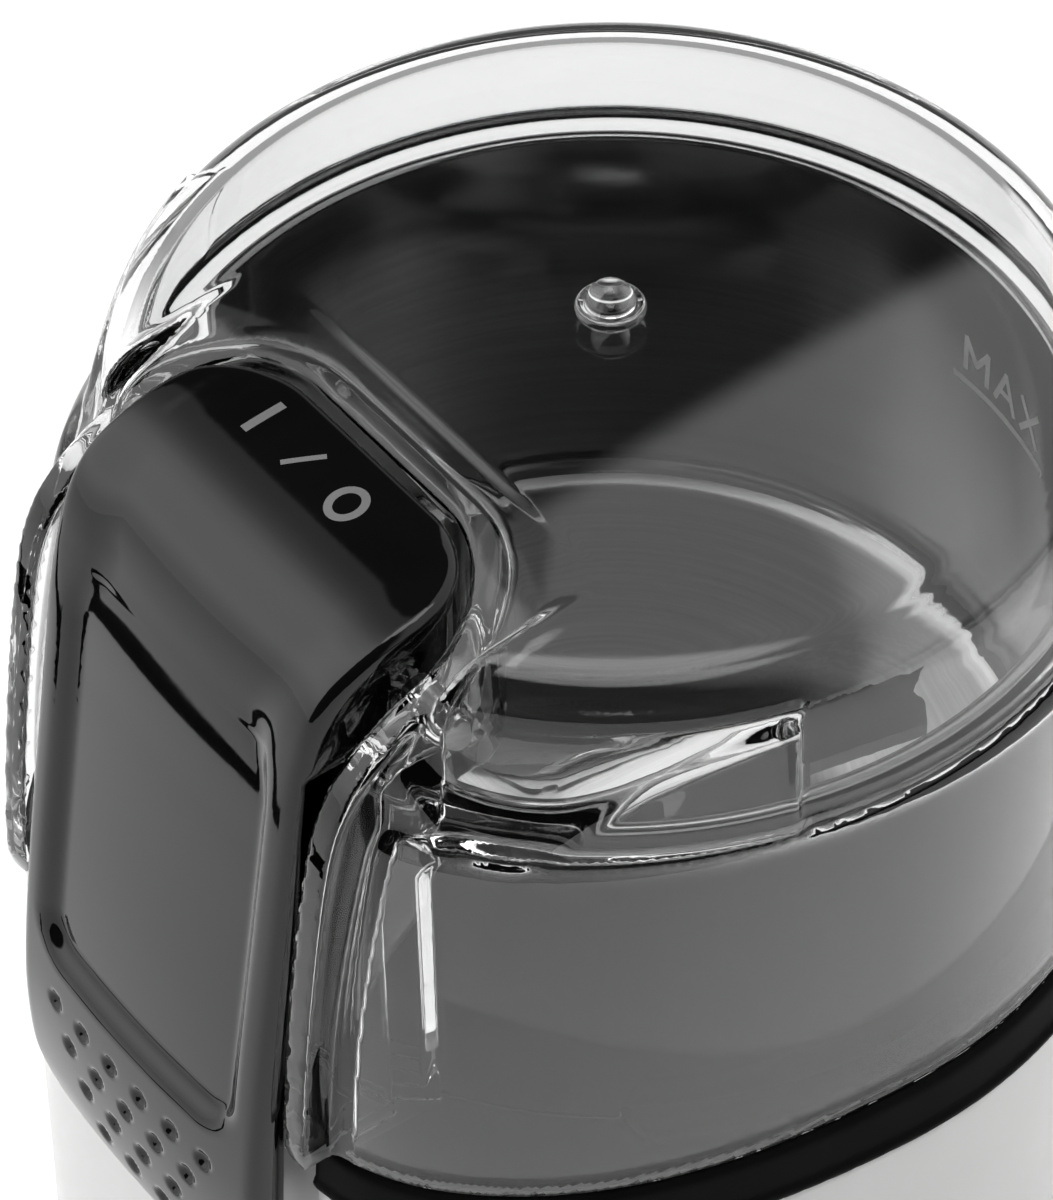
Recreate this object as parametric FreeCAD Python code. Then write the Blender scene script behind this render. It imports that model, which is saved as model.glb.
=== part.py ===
import FreeCAD, Part
import math
import os

# Electric spice grinder: an oval motor body, a steel bowl with a spinning blade,
# and a clear lift-off lid that carries a hinged press lever.
# Origin: on the blade's axis, at the surface that the feet stand on.
# +Z is up, the press lever faces -Y, and all lengths are millimetres.

V = FreeCAD.Vector
FULL_TURN = 2 * math.pi
nearly_one = 0.9

# Heights of the main levels
foot_stand = 1.0
base_thickness = 3.0
lid_seat_height = 119.0
collar_height = 5.2
base_top = foot_stand + base_thickness
beyond = 10.0
collar_bottom = lid_seat_height - collar_height

# Plan outline shared by body, collar and lid: a circle that swells towards the lever
outline_points = 48
bulge_full_angle = math.radians(25)
bulge_none_angle = math.radians(85)
front_sharpness = 24

# Body shell
body_radius = 46.0
body_bulge = 6.3
body_front = body_radius + 0.7
body_draft = 1.0
body_wall = 2.2

# Collar ring
collar_radius_low = body_radius + 0.5
collar_radius_mid = body_radius + 0.1
collar_radius_top = body_radius - 0.6
collar_front_low = body_front + 0.4
collar_front_mid = body_front + 0.2
collar_lip = 1.0
locator_height = 1.5
locator_gap = 0.4
locator_open_y = -24.0
locator_root = 1.0

# The lid sits a little inside the body; most radii follow from it
lid_radius = body_radius - 1.0
lid_wall = 2.2

# Recess behind the lever's lower end, in collar and body
bay_face = lid_radius - 0.8
bay_half_width = 19.5
bay_depth_down = 24.5
bay_wall = 2.0

# Steel bowl
bowl_inner_radius = lid_radius - 6.5
bowl_wall = 0.8
bowl_bead = 0.4
bowl_rim_height = 0.9
bowl_rim_above_seat = 35.7
bowl_floor_below_seat = 4.0
bowl_corner = 4.0
bowl_outer_radius = bowl_inner_radius + bowl_wall
bowl_rim_radius = bowl_outer_radius + bowl_bead
bowl_floor = lid_seat_height - bowl_floor_below_seat
bowl_underside = bowl_floor - bowl_wall
bowl_rim_top = lid_seat_height + bowl_rim_above_seat
gasket_thickness = 0.8
gasket_radius = 20.0

# Clear lid, heights counted from its lower edge
lid_bulge = body_bulge
lid_front = lid_radius + 2.2
shoulder_height = 36.4
shoulder_radius = lid_radius - 0.9
shoulder_bulge = 2.0
shoulder_front = lid_radius - 3.5
skirt_sections = 5
upper_radius = lid_radius - 2.1
upper_mid_radius = lid_radius - 3.0
upper_mid_height = 44.0
rim_radius = lid_radius - 3.8
rim_height = 48.6
rim_round = 1.4
dome_height = 53.0
lid_top_wall = 2.8
nub_radius = 2.9
nub_dome_radius = 2.1
nub_height = 2.4
nub_step = 0.3
nub_round = 0.8

# Raised grip beside the lever, with its finger scoops
grip_angle = math.radians(72.4)
grip_radius = lid_radius - 1.5
grip_draft = 0.6
grip_bulge = 1.5
grip_top = 46.6
scoop_middle = math.radians(43)
scoop_crease_radius = lid_radius - 3.5
scoop_crease_height = 46.6
scoop_low_radius = lid_radius + 0.2
scoop_low_height = 35.3
scoop_hollow = 1.3
scoop_offset = 22.0
scoop_reach = 20.0
scoop_lean = 0.6

# Lever pocket in the lid
pocket_half_width = 18.9
pocket_inner_end = lid_radius - 22.0
pocket_corner = 10.4
pocket_wall = 3.2
pocket_floor = 38.4
pocket_floor_thickness = 2.0
pocket_back_radius = lid_radius - 2.7
pocket_back_wall = 2.0
pocket_wall_inner = 2.9
flange_profile = (
    (0.6, 32.0),
    (-1.8, 34.2),
    (-3.8, 36.8),
    (-5.8, 39.8),
    (-8.8, 43.0),
    (-12.4, 46.0),
    (-16.4, 48.9),
    (-20.5, 50.8),
    (-26.0, 52.0),
)

# Press lever, heights counted from the lid's lower edge
lever_half_width = pocket_half_width - 0.9
lever_over = 1.0
lever_crown = 1.2
lever_crown_centre = (-15.0, 36.0)
lever_sections = 5
lever_bottom = -22.0
lever_inner_end = pocket_inner_end + 0.9
lever_corner_top = 9.5
lever_corner_bottom = 7.0
lever_outer = (
    (-21.0, 51.4),
    (-15.0, 51.0),
    (-9.0, 49.9),
    (-4.4, 47.7),
    (-1.4, 43.6),
    (0.5, 37.0),
    (1.9, 28.5),
    (3.2, 20.0),
    (5.2, 7.0),
    (6.5, -3.0),
    (7.0, -10.0),
    (6.8, -17.0),
    (6.0, -22.5),
)
lever_inner = (
    (2.8, -22.5),
    (1.6, 0.0),
    (-0.7, 20.0),
    (-1.8, 34.0),
    (-2.4, 39.2),
    (-20.6, 39.2),
)
lever_hollow = ((-18.2, 37.6), (-7.0, 46.4))
lever_hollow_half_width = lever_half_width - 2.8
panel_half_width = lever_half_width - 5.0
panel_bottom = -4.5
panel_top = 46.0
panel_tilt = 1.4
panel_pivot = (-7.0, 48.0)
panel_corner = 3.0
dimple_pitch = 4.4
dimple_row_pitch = 3.8
dimple_first_row = -6.6
dimple_rows = (6, 5, 4, 3)
dimple_radius = 1.2
dimple_depth = 0.55

# Lever hinge
hinge_out = lid_radius - 13.5
hinge_height = 42.3
pin_radius = 1.5
pin_end_gap = 0.3
pin_fit = 0.02
hinge_clearance = 0.06
spring_out_radius = 2.4
spring_wire = 0.8
spring_length = 6.0
spring_offset = 8.0

# Switch plunger and microswitch
plunger_drop = 0.5
plunger_radius = 2.2
plunger_clearance = 0.08
plunger_lever_gap = 0.3
plunger_tail = bay_face - 5.3
plunger_collar_radius = 3.4
plunger_collar_thickness = 1.2
plunger_collar_gap = 0.3
plunger_spring_wall = 0.6
switch_front = bay_face - 9.0
switch_depth = 9.6
switch_half_width = 9.0
switch_below_plunger = 5.0
switch_screw_pitch = 12.0
button_radius = 1.6
tab_pitch = 3.2
tab_half = 1.0
tab_length = 5.0
button_height = 0.9

# Upper motor bracket
bracket_flange_radius = body_radius - body_wall - 2.0
bracket_pad_height = 3.2
bracket_flange_bottom = bowl_underside - gasket_thickness - bracket_pad_height
bracket_flange_thickness = 1.8
bracket_pad_radius = bowl_outer_radius - 3.1
ledge_inner_radius = body_radius - 9.0
ledge_thickness = 2.5
mount_height = 3.0
mount_radius = 4.0
mount_circle = body_radius - 6.8
mount_angles = (22, 158, 202, 338)
hub_radius = 9.0
hub_bottom = bracket_flange_bottom - 10.2
hub_above_floor = 3.0
hub_gap = 0.3
ledge_top = bracket_flange_bottom - mount_height
ledge_bottom = ledge_top - ledge_thickness
plunger_height = ledge_bottom - plunger_collar_radius - plunger_drop
switch_bottom = plunger_height - switch_below_plunger
bowl_nut_radius = 13.0
bowl_nut_height = 2.2
nut_clearance = 0.05
nut_notch = 1.5
nut_notches = 4
bearing_radius = 6.5
upper_bearing_bottom = hub_bottom + 1.5
upper_bearing_length = 9.0
seal_length = 5.0
hub_hole_gap = 1.0
leg_radius = 3.2
leg_x = 25.0
leg_y = 21.0

# Motor
stator_height = 26.0
stator_top = hub_bottom - 20.0
stator_bottom = stator_top - stator_height
stator_half_x = 28.5
stator_half_y = 24.5
yoke_thickness = 6.3
stator_corner = 5.0
stator_screw_bite = 10.0
armature_radius = 14.0
air_gap = 0.6
shoe_thickness = 3.0
shoe_angle = math.radians(56)
pole_half_width = 8.5
coil_gap = 0.3
coil_width = 4.6
coil_thickness = 3.9
winding_height = 4.5
coil_round = 4.05
winding_round = 1.8
winding_radius = 12.0
shaft_radius = 3.0
shaft_clearance = 0.05
shaft_bottom = stator_bottom - 33.0
commutator_bottom = stator_bottom - 18.0
commutator_height = 12.0
commutator_radius = 10.0
commutator_bars = 12
commutator_slot = 0.6
commutator_slot_depth = 1.0
armature_slots = 10
slot_width = 3.0
slot_depth = 4.5
fan_bottom = hub_bottom - 12.0
fan_height = 8.0
fan_radius = min(switch_front - switch_depth, leg_x) - 1.6
fan_hub_radius = 7.0
fan_blades = 9
fan_plate = 1.2
fan_blade_thickness = 1.2

# Lower motor bracket and brushes
lower_plate_bottom = stator_bottom - 26.0
lower_plate_thickness = 3.0
lower_plate_x = 30.0
lower_plate_y = 26.0
window_margin = 2.0
lower_hub_bottom = lower_plate_bottom - 6.5
lower_hub_radius = 9.0
lower_bearing_bottom = lower_hub_bottom + 1.5
lower_bearing_length = 8.0
brush_height = commutator_bottom + commutator_height / 2
brush_half = 3.0
brush_gap = 0.3
brush_length = 9.0
holder_wall = 1.2
holder_start = 12.2
holder_end = 27.0
holder_clearance = 0.1
brush_spring_radius = 2.4
brush_spring_bore = 1.7

# Blade
blade_above_seat = 0.4
blade_thickness = 1.5
blade_half_length = 27.0
blade_half_width = 6.0
blade_tip_half_width = 4.0
blade_flat_half = 13.0
blade_tip_rise = 6.0
blade_rest_angle = math.radians(52.3)
blade_twist = math.radians(14)
washer_radius = 6.5
blade_nut_radius = 5.0
blade_nut_height = 4.0
shaft_end = 0.8
blade_hub_extra = 0.8
blade_bend = 4.0
blade_bend_share = 0.8
nut_round = 0.4

# Base plate, feet and screws
base_gap = 0.3
foot_radius = 7.0
foot_recess = 1.0
foot_circle = body_radius - 12.0
foot_place = foot_circle * math.sqrt(0.5)
vent_count = 14
vent_inner = 12.0
vent_outer = 21.0
vent_width = 2.4
boss_radius = 4.8
boss_height = 18.0
boss_circle = body_radius - 4.7
boss_angles = (20, 160, 200, 340)
screw_radius = 1.5
screw_clearance = 0.1
screw_head_radius = 2.6
screw_head_height = 1.6
screw_depth = 10.0
screw_end = 0.5

# Cord inlet
gland_height = 16.0
gland_radius = 5.6
gland_flange_radius = 7.6
gland_flange = 1.6
gland_bore = 3.4
gland_inside = 3.0
gland_gap = 0.1


# Basic solids

def block(x0, x1, y0, y1, z0, z1):
    """A box between two corners."""
    return Part.makeBox(x1 - x0, y1 - y0, z1 - z0, V(x0, y0, z0))


def post(radius, z0, z1, x=0.0, y=0.0):
    """An upright cylinder."""
    return Part.makeCylinder(radius, z1 - z0, V(x, y, z0), V(0, 0, 1))


def tube(outer, inner, z0, z1, x=0.0, y=0.0):
    """An upright tube."""
    return post(outer, z0, z1, x, y).cut(post(inner, z0, z1, x, y))


def rod_x(radius, x0, x1, y, z):
    """A cylinder along X."""
    return Part.makeCylinder(radius, x1 - x0, V(x0, y, z), V(1, 0, 0))


def rod_y(radius, y0, y1, x, z):
    """A cylinder along Y."""
    return Part.makeCylinder(radius, y1 - y0, V(x, y0, z), V(0, 1, 0))


def joined(shapes):
    """One solid out of several that touch or overlap."""
    first = shapes[0]
    return first.fuse(list(shapes[1:])).removeSplitter()


def without(shape, cutters):
    """The shape with every cutter taken out of it."""
    for cutter in cutters:
        shape = shape.cut(cutter)
    return shape


def turned(edges):
    """A full revolution about Z of a closed outline in the XZ plane."""
    face = Part.Face(Part.Wire(edges))
    return face.revolve(V(0, 0, 0), V(0, 0, 1), 360)


def polyline(points):
    """Straight edges through points, not closed."""
    return [Part.makeLine(a, b) for a, b in zip(points, points[1:])]


def turned_polygon(pairs):
    """A full revolution of straight-sided radius and height pairs."""
    points = [V(r, 0, z) for r, z in pairs]
    points.append(points[0])
    return turned(polyline(points))


def arc(a, b, c):
    """An arc from a to c through b."""
    return Part.Arc(a, b, c).toShape()


def spline(points):
    """One smooth open curve through points."""
    curve = Part.BSplineCurve()
    curve.interpolate(Points=points)
    return curve.toShape()


def around(radius, degrees):
    """X and Y at a radius and an angle counted from +X."""
    angle = math.radians(degrees)
    return radius * math.cos(angle), radius * math.sin(angle)


# Outlines in plan

def plan_radius(angle, radius, bulge, front):
    """Radius of the oval outline at an angle from the lever's direction."""
    share = (abs(angle) - bulge_full_angle) / (bulge_none_angle - bulge_full_angle)
    share = min(max(share, 0.0), 1.0)
    bulged = radius + bulge * (1 + math.cos(math.pi * share)) / 2
    facing = math.cos(angle)
    if facing <= 0.5:
        return bulged
    flat = front / facing
    p = front_sharpness
    return (bulged ** -p + flat ** -p) ** (-1 / p)


def outline(radius, bulge, front, z):
    """Closed smooth wire of the oval outline at a height."""
    points = []
    for i in range(outline_points):
        angle = -math.pi + FULL_TURN * i / outline_points
        r = plan_radius(angle, radius, bulge, front)
        points.append(V(r * math.sin(angle), -r * math.cos(angle), z))
    curve = Part.BSplineCurve()
    curve.interpolate(Points=points, PeriodicFlag=True)
    return Part.Wire(curve.toShape())


def oval(sections):
    """Solid through outlines given as radius, bulge, front and height."""
    wires = [outline(*section) for section in sections]
    return Part.makeLoft(wires, True, len(wires) == 2)


def slot_plan(half_width, inner_end, corner, far, z0, z1):
    """Prism with a round-cornered inner end, open-ended towards -Y."""
    bend = corner * (1 - math.sqrt(0.5))
    a = V(-half_width, -far, z0)
    b = V(-half_width, -(inner_end + corner), z0)
    b_mid = V(-half_width + bend, -(inner_end + bend), z0)
    c = V(-half_width + corner, -inner_end, z0)
    d = V(half_width - corner, -inner_end, z0)
    e_mid = V(half_width - bend, -(inner_end + bend), z0)
    e = V(half_width, -(inner_end + corner), z0)
    f = V(half_width, -far, z0)
    edges = [
        Part.makeLine(a, b),
        arc(b, b_mid, c),
        Part.makeLine(c, d),
        arc(d, e_mid, e),
        Part.makeLine(e, f),
        Part.makeLine(f, a),
    ]
    return Part.Face(Part.Wire(edges)).extrude(V(0, 0, z1 - z0))


def side_prism(edges, x0, x1):
    """Prism along X of a closed outline drawn in the YZ plane at X = 0."""
    face = Part.Face(Part.Wire(edges))
    face.translate(V(x0, 0, 0))
    return face.extrude(V(x1 - x0, 0, 0))


# Body

def body_section(z, inset=0.0):
    """Outline values of the body shell at a height, set in by a wall."""
    share = (collar_bottom - z) / (collar_bottom - foot_stand)
    flare = body_draft * share
    return (body_radius + flare - inset, body_bulge, body_front + flare - inset, z)


def bay_cut():
    """Space that the lever's lower end swings into."""
    low = lid_seat_height - bay_depth_down
    high = lid_seat_height + collar_height
    return block(-bay_half_width, bay_half_width, -lid_front - beyond, -bay_face, low, high)


def housing():
    """Oval shell with an inner ledge for the motor and bosses for the base."""
    outer = oval([body_section(foot_stand), body_section(collar_bottom)])
    hollow = oval([body_section(foot_stand, body_wall), body_section(collar_bottom, body_wall)])
    shell = outer.cut(hollow)
    ring = tube(body_radius + beyond, ledge_inner_radius, ledge_bottom, ledge_top)
    bay_low = lid_seat_height - bay_depth_down - bay_wall
    bay_side = bay_half_width + bay_wall
    pad = block(-bay_side, bay_side, -lid_front - beyond, -(bay_face - bay_wall), bay_low, collar_bottom)
    adds = [ring, pad]
    for angle in boss_angles:
        x, y = around(boss_circle, angle)
        adds.append(post(boss_radius, base_top, base_top + boss_height, x, y))
    shell = joined([shell] + [add.common(outer) for add in adds])
    cuts = [bay_cut()]
    for angle in boss_angles:
        x, y = around(boss_circle, angle)
        cuts.append(post(screw_radius + screw_clearance, base_top, base_top + screw_depth, x, y))
    for angle in mount_angles:
        x, y = around(mount_circle, angle)
        cuts.append(post(screw_radius + screw_clearance, ledge_bottom, ledge_top, x, y))
    bore = plunger_radius + plunger_clearance
    cuts.append(rod_y(bore, -lid_front, -bay_face + bay_wall + plunger_collar_gap, 0, plunger_height))
    gland_hole = gland_radius + gland_gap
    cuts.append(rod_y(gland_hole, body_radius - 2 * body_wall, body_radius + beyond, 0, gland_height))
    return without(shell, cuts)


def base_plate():
    """Bottom cover with vents, counterbored screw holes and foot recesses."""
    low = body_section(foot_stand, body_wall + base_gap)
    plate = oval([low, low[:3] + (base_top,)])
    cuts = []
    for i in range(vent_count):
        slot = block(vent_inner, vent_outer, -vent_width / 2, vent_width / 2, 0, base_top)
        slot = joined([slot, post(vent_width / 2, 0, base_top, vent_outer, 0)])
        slot.rotate(V(0, 0, 0), V(0, 0, 1), (i + 0.5) * 360 / vent_count)
        cuts.append(slot)
    for angle in boss_angles:
        x, y = around(boss_circle, angle)
        cuts.append(post(screw_radius + 2 * screw_clearance, 0, base_top, x, y))
        cuts.append(post(screw_head_radius + 2 * screw_clearance, 0, foot_stand + screw_head_height, x, y))
    for x in (-foot_place, foot_place):
        for y in (-foot_place, foot_place):
            cuts.append(post(foot_radius, 0, foot_stand + foot_recess, x, y))
    return without(plate, cuts)


def feet():
    """Four rubber pads pressed into the base plate."""
    pads = []
    for x in (-foot_place, foot_place):
        for y in (-foot_place, foot_place):
            pads.append(post(foot_radius, 0, foot_stand + foot_recess, x, y))
    return Part.makeCompound(pads)


def screw(x, y, head_low, head_high, tip):
    """A plain screw: a head, and a shank that ends at the tip height."""
    low = min(head_low, tip)
    high = max(head_high, tip)
    shank_low = head_high if tip > head_high else low
    shank_high = high if tip > head_high else head_low
    head = post(screw_head_radius, head_low, head_high, x, y)
    return joined([head, post(screw_radius, shank_low, shank_high, x, y)])


def base_screws():
    group = []
    for angle in boss_angles:
        x, y = around(boss_circle, angle)
        head_high = foot_stand + screw_head_height
        group.append(screw(x, y, foot_stand + screw_clearance, head_high, base_top + screw_depth - screw_end))
    return Part.makeCompound(group)


def cord_gland():
    """Flanged rubber bush in the rear wall, with a free bore."""
    share = (collar_bottom - gland_height) / (collar_bottom - foot_stand)
    wall_y = body_radius + body_draft * share
    inner_y = wall_y - body_wall - gland_inside
    body = rod_y(gland_radius, inner_y, wall_y + gland_gap + gland_flange, 0, gland_height)
    flange = rod_y(
        gland_flange_radius, wall_y + gland_gap, wall_y + gland_gap + gland_flange, 0, gland_height
    )
    bore = rod_y(gland_bore, inner_y, wall_y + gland_gap + gland_flange, 0, gland_height)
    return joined([body, flange]).cut(bore)


def collar_ring():
    """Dark ring between body and lid, with a low rib that centres the lid."""
    lip = oval(
        [
            (collar_radius_low, body_bulge, collar_front_low, collar_bottom),
            (collar_radius_low, body_bulge, collar_front_low, collar_bottom + collar_lip),
        ]
    )
    main = oval(
        [
            (collar_radius_mid, body_bulge, collar_front_mid, collar_bottom + collar_lip),
            (collar_radius_top, body_bulge, body_front, lid_seat_height),
        ]
    )
    rib_radius = lid_radius - lid_wall - locator_gap
    rib = post(rib_radius, lid_seat_height - locator_root, lid_seat_height + locator_height)
    reach = 2 * lid_radius
    rib = rib.cut(block(-reach, reach, -reach, locator_open_y, lid_seat_height, lid_seat_height + beyond))
    ring = joined([lip, main, rib])
    bore = post(bowl_outer_radius + hub_gap, collar_bottom, lid_seat_height + collar_height)
    return without(ring, [bore, bay_cut()])


# Bowl

def grinding_bowl():
    """Drawn steel cup with a rounded floor corner and a beaded rim."""
    out = bowl_outer_radius
    inn = bowl_inner_radius
    hole = hub_radius + hub_gap
    low = bowl_underside
    top = bowl_rim_top
    c_out = bowl_corner
    c_in = bowl_corner - bowl_wall
    k = math.sqrt(0.5)
    rim_low = top - bowl_rim_height
    outer_arc = arc(
        V(out - c_out, 0, low), V(out - c_out + c_out * k, 0, low + c_out - c_out * k), V(out, 0, low + c_out)
    )
    inner_arc = arc(
        V(inn, 0, low + c_out),
        V(inn - c_in + c_in * k, 0, low + c_out - c_in * k),
        V(inn - c_in, 0, bowl_floor),
    )
    rim_mid = (rim_low + top) / 2
    bead = arc(V(out, 0, rim_low), V(bowl_rim_radius, 0, rim_mid), V(out, 0, top))
    edges = [
        Part.makeLine(V(hole, 0, low), V(out - c_out, 0, low)),
        outer_arc,
        Part.makeLine(V(out, 0, low + c_out), V(out, 0, rim_low)),
        bead,
        Part.makeLine(V(out, 0, top), V(inn, 0, top)),
        Part.makeLine(V(inn, 0, top), V(inn, 0, low + c_out)),
        inner_arc,
        Part.makeLine(V(inn - c_in, 0, bowl_floor), V(hole, 0, bowl_floor)),
        Part.makeLine(V(hole, 0, bowl_floor), V(hole, 0, low)),
    ]
    return turned(edges)


def bowl_gasket():
    return tube(gasket_radius, hub_radius + hub_gap, bowl_underside - gasket_thickness, bowl_underside)


def bowl_nut():
    """Flat ring nut that clamps the bowl's floor, with four spanner notches."""
    top = bowl_floor + bowl_nut_height
    ring = tube(bowl_nut_radius, hub_radius + nut_clearance, bowl_floor, top)
    notches = []
    for i in range(nut_notches):
        x, y = around(bowl_nut_radius, (i + 0.5) * 360 / nut_notches)
        notches.append(post(nut_notch, bowl_floor, top, x, y))
    return without(ring, notches)


# Lid

def lid_z(height):
    return lid_seat_height + height


def skirt_section(height, inset=0.0):
    """Outline values of the lid's skirt, which draws in towards its shoulder."""
    share = height / shoulder_height
    radius = lid_radius + (shoulder_radius - lid_radius) * share
    bulge = lid_bulge + (shoulder_bulge - lid_bulge) * share * share
    front = lid_front + (shoulder_front - lid_front) * share * share
    return (radius - inset, bulge, front - inset, lid_z(height))


def skirt(inset, top):
    heights = [top * i / (skirt_sections - 1) for i in range(skirt_sections)]
    return oval([skirt_section(height, inset) for height in heights])


def lid_upper(inset, top_inset, low):
    """Turned part of the lid above its shoulder, with a domed top."""
    k = math.sqrt(0.5)
    rim = rim_radius - inset
    edge = rim_height - top_inset
    dome_start = rim - rim_round
    dome_edge = edge + rim_round
    crown = dome_height - top_inset
    half = dome_start / 2
    half_z = crown - (crown - dome_edge) / 4
    start = V(0, 0, lid_z(low))
    edges = polyline(
        [
            start,
            V(upper_radius - inset, 0, lid_z(low)),
            V(upper_radius - inset, 0, lid_z(shoulder_height)),
            V(upper_mid_radius - inset, 0, lid_z(upper_mid_height - top_inset)),
            V(rim, 0, lid_z(edge)),
        ]
    )
    edges.append(
        arc(
            V(rim, 0, lid_z(edge)),
            V(dome_start + rim_round * k, 0, lid_z(edge + rim_round * k)),
            V(dome_start, 0, lid_z(dome_edge)),
        )
    )
    edges.append(arc(V(dome_start, 0, lid_z(dome_edge)), V(half, 0, lid_z(half_z)), V(0, 0, lid_z(crown))))
    edges.append(Part.makeLine(V(0, 0, lid_z(crown)), start))
    return turned(edges)


def lid_nub():
    """Small moulding gate left at the middle of the lid's top."""
    top = lid_z(dome_height)
    return turned_polygon(
        [
            (0, top - lid_top_wall / 2),
            (nub_radius, top - lid_top_wall / 2),
            (nub_radius, top + nub_step),
            (nub_dome_radius, top + nub_step),
            (nub_dome_radius, top + nub_height - nub_round),
            (nub_dome_radius - nub_round, top + nub_height - nub_step),
            (0, top + nub_height),
        ]
    )


def flange_cut(x0, x1):
    """Space above the curved upper edge of the flanges beside the lever."""
    points = [V(0, -lid_radius - out, lid_z(up)) for out, up in flange_profile]
    first = points[0]
    last = points[-1]
    high = lid_z(dome_height + beyond)
    far = -2 * lid_radius
    edges = [spline(points)]
    edges += polyline([last, V(0, last.y, high), V(0, far, high), V(0, far, first.z), first])
    return side_prism(edges, x0, x1)


def scoop():
    """Concave finger scoop on the +X side of the lever.

    It is turned about an upright axis set back behind the lid's own axis,
    so it is deepest at its middle and runs out at both ends.
    """
    crease = (scoop_crease_radius + scoop_offset, lid_z(scoop_crease_height))
    low = (scoop_low_radius + scoop_offset, lid_z(scoop_low_height))
    run = low[0] - crease[0]
    fall = crease[1] - low[1]
    slope = math.hypot(run, fall)
    middle = (
        (crease[0] + low[0]) / 2 - scoop_hollow * fall / slope,
        (crease[1] + low[1]) / 2 - scoop_hollow * run / slope,
    )
    far = low[0] + scoop_reach
    high = lid_z(dome_height + beyond)
    edges = [arc(V(crease[0], 0, crease[1]), V(middle[0], 0, middle[1]), V(low[0], 0, low[1]))]
    edges += polyline(
        [
            V(low[0], 0, low[1]),
            V(far, 0, low[1]),
            V(far, 0, high),
            V(crease[0] + scoop_lean, 0, high),
            V(crease[0], 0, crease[1]),
        ]
    )
    face = Part.Face(Part.Wire(edges))
    ring = face.revolve(V(0, 0, 0), V(0, 0, 1), 360)
    ring.translate(V(-scoop_offset * math.sin(scoop_middle), scoop_offset * math.cos(scoop_middle), 0))
    wide = 2 * lid_radius
    return ring.common(block(pocket_half_width, wide, -wide, 0, lid_z(0), high + beyond))


def mirrored(shape):
    return shape.mirror(V(0, 0, 0), V(1, 0, 0))


def grip():
    """Raised part of the lid on both sides of the lever, before its scoops."""
    low = lid_z(shoulder_height - grip_draft)
    high = lid_z(grip_top)
    raised = oval(
        [
            (grip_radius, grip_bulge, shoulder_front, low),
            (grip_radius - grip_draft, grip_bulge / 2, shoulder_front, high),
        ]
    )
    reach = 2 * lid_radius
    x = reach * math.sin(grip_angle)
    y = -reach * math.cos(grip_angle)
    corners = [V(0, 0, low), V(x, y, low), V(x, -reach, low), V(-x, -reach, low), V(-x, y, low), V(0, 0, low)]
    sector = Part.Face(Part.makePolygon(corners)).extrude(V(0, 0, high - low))
    return raised.common(sector)


def pocket_outer(grow, low, high):
    """Plan of the lever pocket, grown by a wall."""
    return slot_plan(
        pocket_half_width + grow,
        pocket_inner_end - grow,
        pocket_corner + grow,
        lid_front + beyond,
        lid_z(low),
        lid_z(high),
    )


def pocket_space(grow, floor, back_radius):
    """Space of the pocket: above its floor, and outside its round back wall."""
    plan = pocket_outer(grow, -beyond, dome_height + beyond)
    wide = 2 * lid_radius
    above = plan.common(block(-wide, wide, -wide, 0, lid_z(floor), lid_z(dome_height + beyond)))
    outside = plan.cut(post(back_radius, lid_z(-beyond), lid_z(dome_height + beyond)))
    return above.fuse(outside)


def lid():
    """Clear lid: skirt, shoulder, domed top, grips and the lever's pocket."""
    outer = skirt(0.0, shoulder_height).fuse(lid_upper(0.0, 0.0, shoulder_height - lid_wall))
    outer = outer.fuse(grip())
    right = scoop()
    outer = without(outer, [right, mirrored(right)])
    reach = pocket_half_width + pocket_wall
    flange = pocket_outer(pocket_wall, shoulder_height - lid_wall, flange_profile[-1][1])
    flange = flange.common(block(-reach, reach, -shoulder_front, 0, 0, lid_z(dome_height)))
    outer = outer.fuse(flange).cut(flange_cut(-reach, reach))
    outer = outer.fuse(lid_nub())
    chamber = skirt(lid_wall, shoulder_height - lid_wall)
    above = lid_upper(lid_wall, lid_top_wall, shoulder_height - lid_wall)
    thick = pocket_space(
        pocket_wall_inner, pocket_floor - pocket_floor_thickness, pocket_back_radius - pocket_back_wall
    )
    inside = chamber.fuse(above).cut(thick)
    shape = outer.cut(inside)
    shape = shape.cut(pocket_space(0.0, pocket_floor, pocket_back_radius))
    hole = rod_x(pin_radius + pin_fit, -reach, reach, -hinge_out, lid_z(hinge_height))
    return shape.cut(hole)


# Lever

def lever_section(x):
    """Side outline of the lever at a distance from its middle."""
    share = (x / lever_half_width) ** 2
    outer = []
    for offset, up in lever_outer:
        out = lid_radius + offset
        centre_out = lid_radius + lever_crown_centre[0]
        aim_up = min(up, lever_crown_centre[1])
        reach = math.hypot(centre_out - out, aim_up - up)
        step = lever_crown * share / reach
        out_in = out + (centre_out - out) * step
        up_in = up + (aim_up - up) * step
        outer.append(V(x, -out_in, lid_z(up_in)))
    inner = [V(x, -lid_radius - out, lid_z(up)) for out, up in lever_inner]
    edges = [spline(outer)]
    edges += polyline([outer[-1]] + inner + [outer[0]])
    return Part.Wire(edges)


def lever_form():
    """Crowned bar that bends from the lid's top down the front of the body."""
    over = lever_half_width + lever_over
    wires = []
    for i in range(lever_sections):
        wires.append(lever_section(-over + 2 * over * i / (lever_sections - 1)))
    return Part.makeLoft(wires, True, False)


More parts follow.
